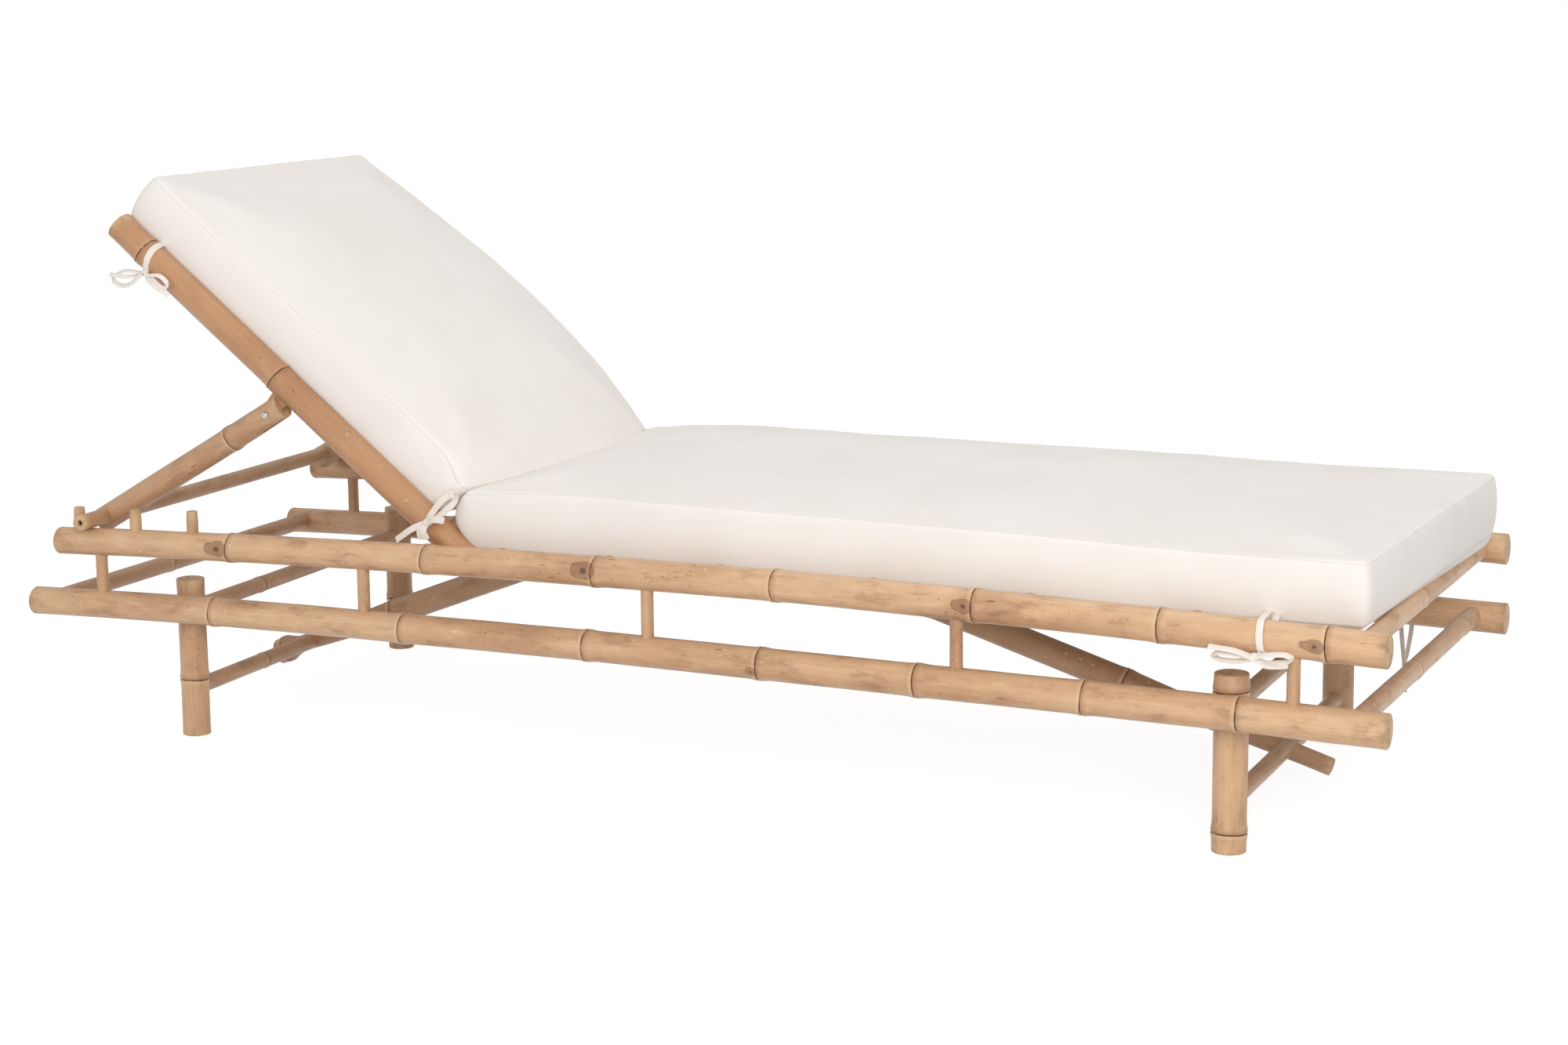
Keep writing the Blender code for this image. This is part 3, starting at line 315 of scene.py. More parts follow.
def bridge(bm, rings):
    """Faces from each ring of corners to the next."""
    for low, high in zip(rings, rings[1:]):
        for i in range(len(low)):
            j = (i + 1) % len(low)
            bm.faces.new((low[i], low[j], high[j], high[i]))


def mesh_of(name, bm, sharp=None):
    """A mesh with its faces outwards, and smooth but for edges of more than sharp degrees."""
    bmesh.ops.recalc_face_normals(bm, faces=bm.faces)
    mesh = bpy.data.meshes.new(name)
    bm.to_mesh(mesh)
    bm.free()
    if sharp:
        mesh.shade_smooth()
        mesh.set_sharp_from_angle(angle=math.radians(sharp))
    return mesh


def baked(piece):
    """Applies a piece's modifiers."""
    bpy.context.view_layer.update()
    evaluated = piece.evaluated_get(bpy.context.evaluated_depsgraph_get())
    rough = piece.data
    piece.data = bpy.data.meshes.new_from_object(evaluated)
    piece.modifiers.clear()
    bpy.data.meshes.remove(rough)


def make_camera():
    data = bpy.data.cameras.new("camera")
    camera = new_object("camera", data)
    yaw, pitch, roll = CAMERA_YAW, CAMERA_PITCH, CAMERA_ROLL
    ahead = Vector((-math.sin(yaw) * math.cos(pitch), math.cos(yaw) * math.cos(pitch),
                    math.sin(pitch)))
    level = Vector((math.cos(yaw), math.sin(yaw), 0))
    over = level.cross(ahead)
    right = level * math.cos(roll) + over * math.sin(roll)
    up = over * math.cos(roll) - level * math.sin(roll)
    turn = Matrix((right, up, -ahead)).transposed()
    camera.matrix_world = Matrix.Translation(CAMERA_PLACE) @ turn.to_4x4()
    data.sensor_width = CAMERA_SENSOR
    data.lens = CAMERA_LENS
    bpy.context.scene.camera = camera


make_camera()


# Material graphs


class Graph:
    """The nodes of a material or a world, and short calls that add them."""

    def __init__(self, owner):
        self.owner = owner
        owner.use_nodes = True
        self.tree = owner.node_tree
        self.tree.nodes.clear()

    def put(self, socket, value):
        if isinstance(value, bpy.types.NodeSocket):
            self.tree.links.new(value, socket)
        else:
            socket.default_value = value

    def node(self, kind, inputs=None, **settings):
        made = self.tree.nodes.new(kind)
        for key, value in settings.items():
            setattr(made, key, value)
        for key, value in (inputs or {}).items():
            self.put(made.inputs[key], value)
        return made

    def math(self, operation, a, b=0.0, clamp=False):
        made = self.node("ShaderNodeMath", {0: a, 1: b}, operation=operation, use_clamp=clamp)
        return made.outputs[0]

    def plus(self, a, b, clamp=False):
        return self.math("ADD", a, b, clamp)

    def minus(self, a, b, clamp=False):
        return self.math("SUBTRACT", a, b, clamp)

    def times(self, a, b, clamp=False):
        return self.math("MULTIPLY", a, b, clamp)

    def triple(self, value):
        return self.node("ShaderNodeCombineXYZ", {0: value, 1: value, 2: value}).outputs[0]

    def vector(self, operation, a, b):
        return self.node("ShaderNodeVectorMath", {0: a, 1: b}, operation=operation).outputs[0]

    def mix(self, share, a, b, blend="MIX"):
        made = self.node("ShaderNodeMix", {0: share, 6: a, 7: b}, data_type="RGBA",
                         blend_type=blend)
        return made.outputs[2]

    def over(self, under, colour, share, strength):
        """A colour laid over another, as much as share times strength."""
        return self.mix(self.times(share, strength), under, colour)

    def ramp(self, value, low, high, to_low=0.0, to_high=1.0):
        made = self.node("ShaderNodeMapRange", {0: value, 1: low, 2: high, 3: to_low, 4: to_high},
                         interpolation_type="SMOOTHSTEP")
        return made.outputs[0]

    def noise(self, place, scale, detail=2.0, rough=0.5):
        spread = self.vector("MULTIPLY", place, scale)
        made = self.node("ShaderNodeTexNoise", {"Vector": spread, "Scale": 1.0, "Detail": detail,
                                                "Roughness": rough})
        return made.outputs["Fac"]

    def spots(self, place, scale, size, share):
        """1 on a random share of the cells' middles, 0 elsewhere."""
        spread = self.vector("MULTIPLY", place, scale)
        cells = self.node("ShaderNodeTexVoronoi", {"Vector": spread, "Scale": 1.0})
        chance = self.node("ShaderNodeSeparateColor", {0: cells.outputs["Color"]}).outputs[0]
        near = self.ramp(cells.outputs["Distance"], 0.5 * size, size, 1.0, 0.0)
        return self.times(near, self.math("GREATER_THAN", chance, 1 - share))

    def attribute(self, name):
        return self.node("ShaderNodeAttribute", attribute_name=name).outputs["Fac"]

    def finish(self, **inputs):
        """Closes the graph with a Principled shader."""
        shader = self.node("ShaderNodeBsdfPrincipled")
        for key, value in inputs.items():
            self.put(shader.inputs[key.replace("_", " ")], value)
        self.node("ShaderNodeOutputMaterial", {0: shader.outputs[0]})
        return self.owner


def rgb(red, green, blue):
    """A colour given as the screen shows it, 0 to 255."""
    linear = []
    for level in (red, green, blue):
        share = level / 255
        linear.append(share / 12.92 if share <= 0.04045 else ((share + 0.055) / 1.055) ** 2.4)
    return (*linear, 1.0)


def add_rings(g, colour, place, mottled):
    """A thin dark line at each ring, with a pale band before it and a brown shade after it."""
    away = g.times(g.minus(1.0, g.attribute("near_ring")), RING_SIGHT)
    way = g.minus(g.times(g.attribute("after_ring"), 2.0), 1.0)
    wander = g.minus(g.noise(place, (130, 130, 130), 2.0), 0.5)
    past = g.plus(g.times(away, way), wander)
    in_sight = g.ramp(g.attribute("near_ring"), 0.0, 0.1)
    bloom = g.times(g.ramp(past, -8.0, -4.0), g.ramp(past, -1.6, -0.7, 1, 0))
    shade = g.times(g.ramp(past, 0.5, 1.3), g.ramp(past, 2.0, 10.0, 1, 0))
    colour = g.over(colour, rgb(226, 194, 150), g.times(bloom, in_sight), 0.34 * mottled)
    colour = g.over(colour, rgb(140, 96, 62), g.times(shade, in_sight), 0.40)
    broken = g.ramp(g.noise(place, (55, 55, 55), 2.0), 0.28, 0.55, 0.45, 1.0)
    dark = g.ramp(g.math("ABSOLUTE", past), 0.40, 1.15, 1, 0)
    line = g.times(dark, g.times(broken, in_sight))
    return g.over(colour, rgb(66, 42, 26), line, 0.95)


def scar_marks(g, place, clouds):
    """Where dark specks, and dashes along the fibres, lie on the skin."""
    specks = g.spots(place, (210, 210, 110), 0.27, 0.12)
    dashes = g.spots(place, (170, 170, 26), 0.20, 0.10)
    marks = g.plus(g.times(specks, 0.62), g.times(dashes, 0.72), True)
    worn = g.ramp(clouds, 0.40, 0.62)
    return g.times(marks, g.plus(worn, 0.25), True)


def add_buds(g, colour):
    """Brown buds with a darker rim and a dark eye."""
    knot = g.attribute("knot")
    rim = g.times(g.ramp(knot, 0.02, 0.10), g.ramp(knot, 0.10, 0.30, 1, 0))
    colour = g.over(colour, rgb(142, 94, 58), g.ramp(knot, 0.06, 0.35), 0.72)
    colour = g.over(colour, rgb(96, 62, 38), rim, 0.6)
    return g.over(colour, rgb(70, 44, 28), g.ramp(knot, 0.70, 0.93), 0.85)


def sawn_wood(g, place, mottle):
    """The pale wood of a cut, with dark dots of fibre."""
    dots = g.spots(place, (900, 900, 900), 0.42, 0.5)
    sawn = g.mix(g.ramp(mottle, 0.4, 0.7), rgb(206, 172, 132), rgb(166, 128, 90))
    return g.over(sawn, rgb(112, 80, 52), dots, 0.45)


def bamboo_material(name, pale, tan, brown, coat, mottled):
    """Bamboo skin: soft mottling and fibres, with rings, scars, chips, buds and sawn ends."""
    g = Graph(bpy.data.materials.new(name))
    coords = g.node("ShaderNodeTexCoord").outputs["Object"]
    place = g.vector("ADD", coords, g.triple(g.attribute("seed")))
    streaks = g.noise(place, (70, 70, 3.0), 4.0, 0.6)
    fibres = g.noise(place, (620, 620, 16), 3.0, 0.6)
    mottle = g.noise(place, (46, 46, 17), 6.0, 0.68)
    clouds = g.noise(place, (13, 13, 4.0), 3.0, 0.55)
    facing = g.node("ShaderNodeNewGeometry").outputs["Normal"]
    upward = g.node("ShaderNodeSeparateXYZ", {0: facing}).outputs[2]
    # Pale and yellow above and before a ring, pinker below and after it; the darker, pinker undersides are partly
    # the skin's own tone and partly painted shade
    warm = g.times(g.ramp(streaks, 0.34, 0.68), 0.34)
    warm = g.plus(warm, g.times(g.ramp(clouds, 0.36, 0.66), 0.42))
    # Undersides: partly the skin's own pinker tone, partly painted shade; tops painted a little paler
    warm = g.plus(warm, g.ramp(upward, -0.7, 0.7, 0.26, -0.08))
    warm = g.plus(warm, g.times(g.attribute("tint"), 0.16))
    warm = g.minus(warm, g.times(g.attribute("span"), 0.14), True)
    colour = g.mix(warm, pale, tan)
    dull = g.times(g.ramp(mottle, 0.50, 0.70), 0.55)
    dull = g.plus(dull, g.times(g.ramp(clouds, 0.50, 0.72), 0.36), True)
    colour = g.over(colour, brown, dull, mottled)
    light = g.times(g.ramp(mottle, 0.48, 0.32), 0.28)
    colour = g.over(colour, rgb(232, 202, 160), light, mottled)
    # Browner poles: partly their own tone, partly painted shade on inner and far poles
    colour = g.over(colour, brown, g.attribute("brown_and_shade"), 0.75)
    fine = g.ramp(fibres, 0.30, 0.72, 0.93, 1.05)
    colour = g.mix(1.0, colour, g.triple(fine), "MULTIPLY")
    colour = add_rings(g, colour, place, mottled)
    marks = scar_marks(g, place, clouds)
    colour = g.mix(marks, colour, rgb(96, 62, 38))
    chips = g.spots(place, (170, 170, 90), 0.26, 0.045)
    colour = g.over(colour, rgb(240, 214, 168), chips, 0.55)
    colour = add_buds(g, colour)
    cut = g.attribute("cut")
    colour = g.mix(cut, colour, sawn_wood(g, place, mottle))
    # Painted shade on the walls deep inside a sawn end's hole
    colour = g.mix(g.ramp(g.attribute("hollow"), 0.0, 1.0), colour, rgb(70, 48, 32))
    rough = g.plus(g.ramp(mottle, 0.3, 0.8, 0.40, 0.58), g.times(cut, 0.3))
    height = g.plus(g.times(fibres, 0.35), g.times(mottle, 0.65))
    height = g.minus(height, g.times(marks, 0.8))
    bump = g.node("ShaderNodeBump", {"Strength": 0.45, "Distance": 0.0006, "Height": height})
    return g.finish(Base_Color=colour, Roughness=rough, Normal=bump.outputs[0], Coat_Weight=coat,
                    Coat_Roughness=0.32)


def fabric_material(name, colour_of, pitch):
    """Plain woven cloth; its UV map is in metres."""
    g = Graph(bpy.data.materials.new(name))
    uv = g.node("ShaderNodeUVMap", uv_map="weave").outputs[0]
    coords = g.node("ShaderNodeTexCoord").outputs["Object"]
    turns = 2 * math.pi / pitch
    across = g.node("ShaderNodeSeparateXYZ", {0: g.vector("MULTIPLY", uv, (turns,) * 3)})
    warp = g.math("SINE", across.outputs[0])
    weft = g.math("SINE", across.outputs[1])
    weave = g.times(warp, weft)
    slubs = g.noise(uv, (900, 60, 1), 2.0)
    soil = g.noise(coords, (5, 5, 5), 3.0, 0.55)
    fleck = g.spots(coords, (260, 260, 260), 0.2, 0.01)
    # Painted shade along the seams, where the cover dips in
    seam = g.ramp(g.attribute("seam"), 0.35, 0.95)
    shade = g.ramp(soil, 0.35, 0.7)
    colour = g.mix(shade, colour_of[0], colour_of[1])
    colour = g.over(colour, rgb(196, 170, 140), fleck, 0.5)
    colour = g.over(colour, rgb(190, 178, 166), seam, 0.35)
    thread = g.ramp(g.plus(weave, slubs), -1.0, 1.6, 0.955, 1.0)
    colour = g.mix(1.0, colour, g.triple(thread), "MULTIPLY")
    height = g.plus(g.times(weave, 0.5), slubs)
    bump = g.node("ShaderNodeBump", {"Strength": 0.3, "Distance": 0.0003, "Height": height})
    return g.finish(Base_Color=colour, Roughness=g.ramp(slubs, 0.2, 0.8, 0.86, 0.95),
                    Normal=bump.outputs[0], Sheen_Weight=0.12, Sheen_Roughness=0.5)


def steel_material():
    g = Graph(bpy.data.materials.new("steel"))
    coords = g.node("ShaderNodeTexCoord").outputs["Object"]
    scuffs = g.noise(coords, (700, 700, 700), 3.0, 0.6)
    rust = g.ramp(g.noise(coords, (300, 300, 300), 3.0), 0.55, 0.75)
    colour = g.over(rgb(196, 192, 184), rgb(150, 116, 84), rust, 0.5)
    bump = g.node("ShaderNodeBump", {"Strength": 0.2, "Distance": 0.0001, "Height": scuffs})
    return g.finish(Base_Color=colour, Metallic=1.0, Roughness=g.ramp(scuffs, 0.3, 0.7, 0.22, 0.42),
                    Normal=bump.outputs[0])


BAMBOO = bamboo_material("bamboo_skin", rgb(212, 173, 134), rgb(190, 144, 105),
                         rgb(150, 106, 74), 0.25, 1.0)
BAMBOO_BROWN = bamboo_material("bamboo_skin_brown", rgb(190, 141, 99), rgb(167, 116, 76),
                               rgb(132, 89, 58), 0.45, 0.35)
FABRIC = fabric_material("canvas", (rgb(240, 235, 229), rgb(236, 230, 224)), 0.0011)
TAPE = fabric_material("tape", (rgb(238, 230, 222), rgb(228, 218, 208)), 0.0008)
STEEL = steel_material()


def body_of(node):
    bodies = frame["record"]["behaviour"]["bodies"]
    return next(body for body, nodes in bodies.items() if node in nodes)


def add_piece(name, mesh, material, body, matrix=None):
    """A finished piece that rides on a body."""
    piece = new_object(name, mesh)
    if matrix:
        piece.matrix_world = matrix
    mesh.materials.append(material)
    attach(piece, body)
    return piece


# Poles


def node_corners(node):
    """The distinct corners of a CAD node."""
    found = {}
    for vert in frame["nodes"][node].data.vertices:
        found[tuple(round(c, 5) for c in vert.co)] = vert.co.copy()
    return np.array([list(co) for co in found.values()])


def groups_along(points, start, axis):
    """The corners in groups, each with one distance along the pole."""
    along = (points - start) @ axis
    order = np.argsort(along)
    groups = [[order[0]]]
    for i in order[1:]:
        if along[i] - along[groups[-1][-1]] > GROUP_GAP:
            groups.append([])
        groups[-1].append(i)
    return [points[group] for group in groups]


def whole_circles(groups, start, axis):
    """Whole circles of corners, as (distance, offset from the straight line, radius)."""
    circles = []
    for corners in groups:
        centre = corners.mean(0)
        away = np.linalg.norm(corners - centre, axis=1)
        if len(corners) >= CIRCLE_CORNERS and away.min() > CIRCLE_ROUND * away.max():
            distance = float((centre - start) @ axis)
            circles.append((distance, centre - start - axis * distance, float(away.mean())))
    return circles


class Line:
    """Where a CAD pole lies: its ends, its bend, its radii and its rings, read from its corners."""

    def __init__(self, node):
        points = node_corners(node)
        middle = points.mean(0)
        axis = np.linalg.svd(points - middle)[2][0]
        if axis[np.argmax(abs(axis))] < 0:
            axis = -axis
        for _ in range(3):
            along = (points - middle) @ axis
            start = points[along < along.min() + CAP_DEPTH].mean(0)
            end = points[along > along.max() - CAP_DEPTH].mean(0)
            axis = (end - start) / np.linalg.norm(end - start)
        self.start = Vector(start)
        self.axis = Vector(axis)
        self.length = float(np.linalg.norm(end - start))
        groups = groups_along(points, start, axis)
        self.circles = whole_circles(groups, start, axis)
        plain = [s for i, s in enumerate(self.circles) if not self.stands_out(i)
                 and END_MARGIN < s[0] < self.length - END_MARGIN] or self.circles
        self.plain_at = [s[0] for s in plain]
        self.plain_r = [s[2] for s in plain]
        offsets = np.array([s[1] for s in self.circles])
        self.bends = [None] * 3
        if len(offsets) > BEND_CIRCLES and abs(offsets).max() > BEND_LEAST:
            at = [s[0] for s in self.circles]
            self.bends = [np.polyfit(at, offsets[:, i], BEND_DEGREE) for i in range(3)]
        self.rings = self.find_rings(groups, start, axis)

    def stands_out(self, index):
        """Whether a circle is wider than most of those round it, as at a ring."""
        nearby = self.circles[max(0, index - 2):index + 3]
        return self.circles[index][2] > np.median([s[2] for s in nearby]) + CIRCLE_STANDS_OUT

    def find_rings(self, groups, start, axis):
        """The rings, also those that a cut crosses: corners that stand out from the pole."""
        found = []
        places = np.array([((corners - start) @ axis).mean() for corners in groups])
        for corners, distance in zip(groups, places):
            if not RING_RISE < distance < self.length - RING_RISE:
                continue
            slack = abs(abs(places - distance) - RING_RISE).min()
            if len(corners) < RING_CORNERS or slack > RING_RISE_SLACK:
                continue
            across = corners - start - axis * distance - np.array(self.offset(distance))
            across -= np.outer(across @ axis, axis)
            swell = float(np.linalg.norm(across, axis=1).max()) - self.radius(distance)
            if swell >= RING_STANDS_OUT and (not found or distance - found[-1] > RING_RISE):
                found.append(float(distance))
        return found

    def radius(self, distance):
        return float(np.interp(distance, self.plain_at, self.plain_r))

    def offset(self, distance):
        """How far the bent pole's middle is from the straight line between its ends."""
        return Vector([0.0 if bend is None else float(np.polyval(bend, distance))
                       for bend in self.bends])

    def nearest_ring(self, distance):
        """The nearest ring, and how far past it a place lies in millimetres."""
        nearest = min(self.rings, key=lambda ring: abs(ring - distance), default=None)
        return nearest, math.inf if nearest is None else (distance - nearest) * 1000


def ring_swell(distance, scale):
    """The radius added near a ring, at a signed distance in millimetres."""
    return float(np.interp(distance / scale, RING_FORM_AT, RING_FORM_OUT)) * scale / 1000


def pole_stations(length, rings, scale):
    """Distances along a pole: even between rings, and close together at each of them."""
    count = max(2, round(length / STATION_PITCH))
    marks = {0.0, length, *(length * i / count for i in range(count + 1))}
    for ring in rings:
        reach = RING_REACH * scale / 1000
        marks = {m for m in marks if abs(m - ring) > reach or m in (0.0, length)}
        near = [ring + at * scale / 1000 for at in RING_FORM_AT]
        marks.update(mark for mark in near if END_MARGIN < mark < length - END_MARGIN)
    ordered = sorted(marks)
    kept = [ordered[0]]
    for mark in ordered[1:]:
        if mark - kept[-1] > NEXT_STATION:
            kept.append(mark)
    return kept


def cap_rings(radius, cap):
    """A sawn end from the rim inwards, as (radius, depth below the cut)."""
    dish, bore, depth = cap
    face = radius - CUT_EDGE
    hole = bore * radius
    rings = [(radius, CUT_EDGE), (radius - CUT_EDGE / 3, CUT_EDGE / 3), (face, 0.0)]
    rings += [(hole + (face - hole) * share, dish) for share in (0.8, 0.55, 0.3)]
    rings += [(hole + 0.0004, 0.0004), (hole, 0.0010), (0.96 * hole, 0.5 * depth),
              (0.90 * hole, depth), (0.5 * hole, depth + 0.0005)]
    return rings


class Culm:
    """A bamboo pole's mesh along local Z, with what its material needs in attributes.

    Buds are (distance, direction, size); the last argument browns the pole, partly its own tone, partly painted
    shade.
    """

    def __init__(self, line, seed, buds, brown_and_shade):
        chance = random.Random(seed)
        self.line = line
        self.scale = line.radius(line.length / 2) / RING_FORM_R
        self.sides = THICK_SIDES if line.radius(line.length / 2) > THICK_R else THIN_SIDES
        self.turn = line.axis.to_track_quat("Z", "Y")
        self.back = self.turn.inverted()
        self.buds = []
        for at, out, size in buds:
            facing = self.back @ Vector(out)
            self.buds.append((at, math.atan2(facing.y, facing.x), size))
        self.edges = [0.0, *line.rings, line.length]
        self.kinks = [Vector((chance.uniform(-KINK, KINK), chance.uniform(-KINK, KINK)))
                      for _ in line.rings]
        self.tints = [chance.uniform(-1, 1) for _ in self.edges[1:]]
        self.wobbles = {ring: (chance.uniform(0.3, 0.9), chance.uniform(0, 6.28),
                               chance.uniform(0.1, 0.5), chance.uniform(0, 6.28))
                        for ring in line.rings}
        self.bm = bmesh.new()
        self.layers = {key: self.bm.verts.layers.float.new(key) for key in
                       ("near_ring", "after_ring", "span", "tint", "cut", "hollow", "knot",
                        "seed", "brown_and_shade")}
        self.same = {"seed": seed * SEED_STEP, "brown_and_shade": brown_and_shade}
        self.phase = chance.uniform(0, 6.28)
        self.drift = chance.uniform(0, 100)
        self.oval = chance.uniform(0.006, 0.016)
        self.rings = []

    def kink(self, distance):
        """How far the pole's middle is moved by the small bends at its rings."""
        return Vector([np.interp(distance, self.edges, [0.0, *(k[i] for k in self.kinks), 0.0])
                       for i in range(2)])

    def slide(self, nearest, gap, angle):
        """How far the form of a ring wanders along the pole at an angle."""
        reach = RING_REACH * self.scale
        if abs(gap) >= reach:
            return 0.0
        a, p, b, q = self.wobbles[nearest]
        wander = a * math.sin(angle + p) + b * math.sin(2 * angle + q)
        return (1 - abs(gap) / reach) * self.scale * wander / 1000

    def bud(self, distance, angle, radius):
        """How far up a bud a place is, from 0 to 1."""
        most = 0.0
        for at, facing, size in self.buds:
            turned = (angle - facing + math.pi) % (2 * math.pi) - math.pi
            away = math.hypot(distance - at, turned * radius * BUD_ROUND) / size
            most = max(most, smoothstep(1, 0, away))
        return most

    def add_ring(self, distance, radius_of, lift=0.0, **values):
        """A ring of corners, moved along the pole by lift; values are the cut's attributes."""
        nearest, gap = self.line.nearest_ring(distance)
        internode = sum(1 for ring in self.line.rings if ring < distance)
        low, high = self.edges[internode:internode + 2]
        middle = self.back @ self.line.offset(distance)
        kink = self.kink(distance)
        values = {"cut": 0.0, "hollow": 0.0, **self.same, **values,
                  "tint": self.tints[internode], "span": (distance - low) / (high - low),
                  "after_ring": float(gap > 0)}
        values["near_ring"] = 0.0 if values["cut"] else max(0.0, 1 - abs(gap) / RING_SIGHT)
        ring = []
        for i in range(self.sides):
            angle = 2 * math.pi * i / self.sides
            radius = radius_of(angle)
            values["knot"] = self.bud(distance, angle, radius)
            out = radius + BUD_RISE * values["knot"] * (1 - values["cut"])
            vert = self.bm.verts.new((out * math.cos(angle) + middle.x + kink.x,
                                      out * math.sin(angle) + middle.y + kink.y,
                                      distance + lift + self.slide(nearest, gap, angle)))
            for key, value in values.items():
                vert[self.layers[key]] = value
            ring.append(vert)
        self.rings.append(ring)

    def add_end(self, distance, inwards, cap):
        """The rings of a sawn end, in their order along the pole."""
        rings = cap_rings(self.line.radius(distance), cap)
        for radius, depth in rings[::-1] if inwards > 0 else rings:
            self.add_ring(distance, lambda angle: radius, inwards * depth, cut=1.0,
                          hollow=float(depth > HOLE_SHADE_FROM))

    def skin(self, distance):
        """The radius as a function of the angle: swollen near a ring, and never quite round."""
        base = self.line.radius(distance)
        nearest, gap = self.line.nearest_ring(distance)
        if nearest is not None:
            base += ring_swell(gap, self.scale)

        def radius(angle):
            spot = Vector((1.1 * math.cos(angle), 1.1 * math.sin(angle),
                           11 * distance + self.drift))
            uneven = 1 + self.oval * math.cos(2 * angle + self.phase) + UNEVEN * noise.noise(spot)
            return base * uneven - SKIN_SUNK
        return radius

    def mesh(self, name, caps):
        length = self.line.length
        self.add_end(0.0, 1, caps[0])
        for distance in pole_stations(length, self.line.rings, self.scale)[1:-1]:
            if SKIN_MARGIN < distance < length - SKIN_MARGIN:
                self.add_ring(distance, self.skin(distance))
        self.add_end(length, -1, caps[1])
        bridge(self.bm, self.rings)
        self.bm.faces.new(self.rings[0][::-1])
        self.bm.faces.new(self.rings[-1])
        return mesh_of(name, self.bm, sharp=50)


def add_pole(node, line, material, caps, buds, brown_and_shade):
    """A CAD pole's finished form."""
    name = node + "_culm"
    culm = Culm(line, 1 + sorted(frame["nodes"]).index(node), buds, brown_and_shade)
    matrix = Matrix.Translation(line.start) @ culm.turn.to_matrix().to_4x4()
    piece = add_piece(name, culm.mesh(name, caps), material, body_of(node), matrix)
    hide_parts(node)


def make_poles():
    stile_like = ("stile_near", "stile_far", "back_bar_top", "back_pole_1", "back_pole_2")
    solid = ("spindle", "peg", "seat_pole", "crossbar", "stretcher")
    other_forms = ("cushion", "tie_", "lug_", "pivot_bolt")
    for node in sorted(frame["nodes"]):
        if any(word in node for word in other_forms):
            continue
        line = Line(node)
        caps = (SOLID_END, SOLID_END) if node.startswith(solid) else (PITH_END, PITH_END)
        if node.startswith("brace"):
            caps = (BRACE_END, PITH_END)
        if node.startswith("rail"):
            line.rings = [ring + RING_SHIFT - RING_SHIFT_FALL * ring for ring in line.rings]
        if node == "prop_rod":
            line.start += Vector(ROD_LIFT)
            line.plain_r = [radius + ROD_MORE for radius in line.plain_r]
            caps = (ROD_END, ROD_END)
        if node.startswith("stile"):
            # The photograph shows no ring low on the stiles.
            line.rings = [ring for ring in line.rings if ring < 0.5 * line.length]
        buds = [(at - line.start.x, (0.1, -1.0, up), size)
                for pole, at, up, size in BUDS if pole == node]
        brown_and_shade = next((share for start, share in BROWNED_AND_SHADED if node.startswith(start)), 0.0)
        add_pole(node, line, BAMBOO_BROWN if node in stile_like else BAMBOO, caps, buds, brown_and_shade)


make_poles()


# Cushions


RAIL = Line("rail_upper_near")
HINGE = Vector(JOINTS["back_recline"]["pos_m"])
STILE = Line("stile_near")
UP_BACK = STILE.axis * -math.copysign(1, STILE.axis.x)
SEAT_POLES = [Line(node).start.x for node in sorted(frame["nodes"]) if "seat_pole" in node]


def rail_height(x):
    """The height of the upper rails' middle."""
    distance = x - RAIL.start.x
    return RAIL.start.z + RAIL.axis.z * distance + RAIL.offset(distance).z


def smooth_line(points, at, reach=0.024):
    """A soft curve through given points, each a place along it and a value."""
    places, values = zip(*points)
    steps = (-1, -0.5, 0, 0.5, 1)
    return sum(float(np.interp(at + reach * step, places, values)) for step in steps) / len(steps)


def grid_lines(half, count):
    """Grid lines across a panel: close together at its seams, even between them."""
    edge = [-half] + [-half + step for step in PANEL_EDGE]
    inner = half - PANEL_EDGE[-1]
    middle = [-inner + 2 * inner * i / count for i in range(1, count)]
    return edge + middle + [-value for value in reversed(edge)]


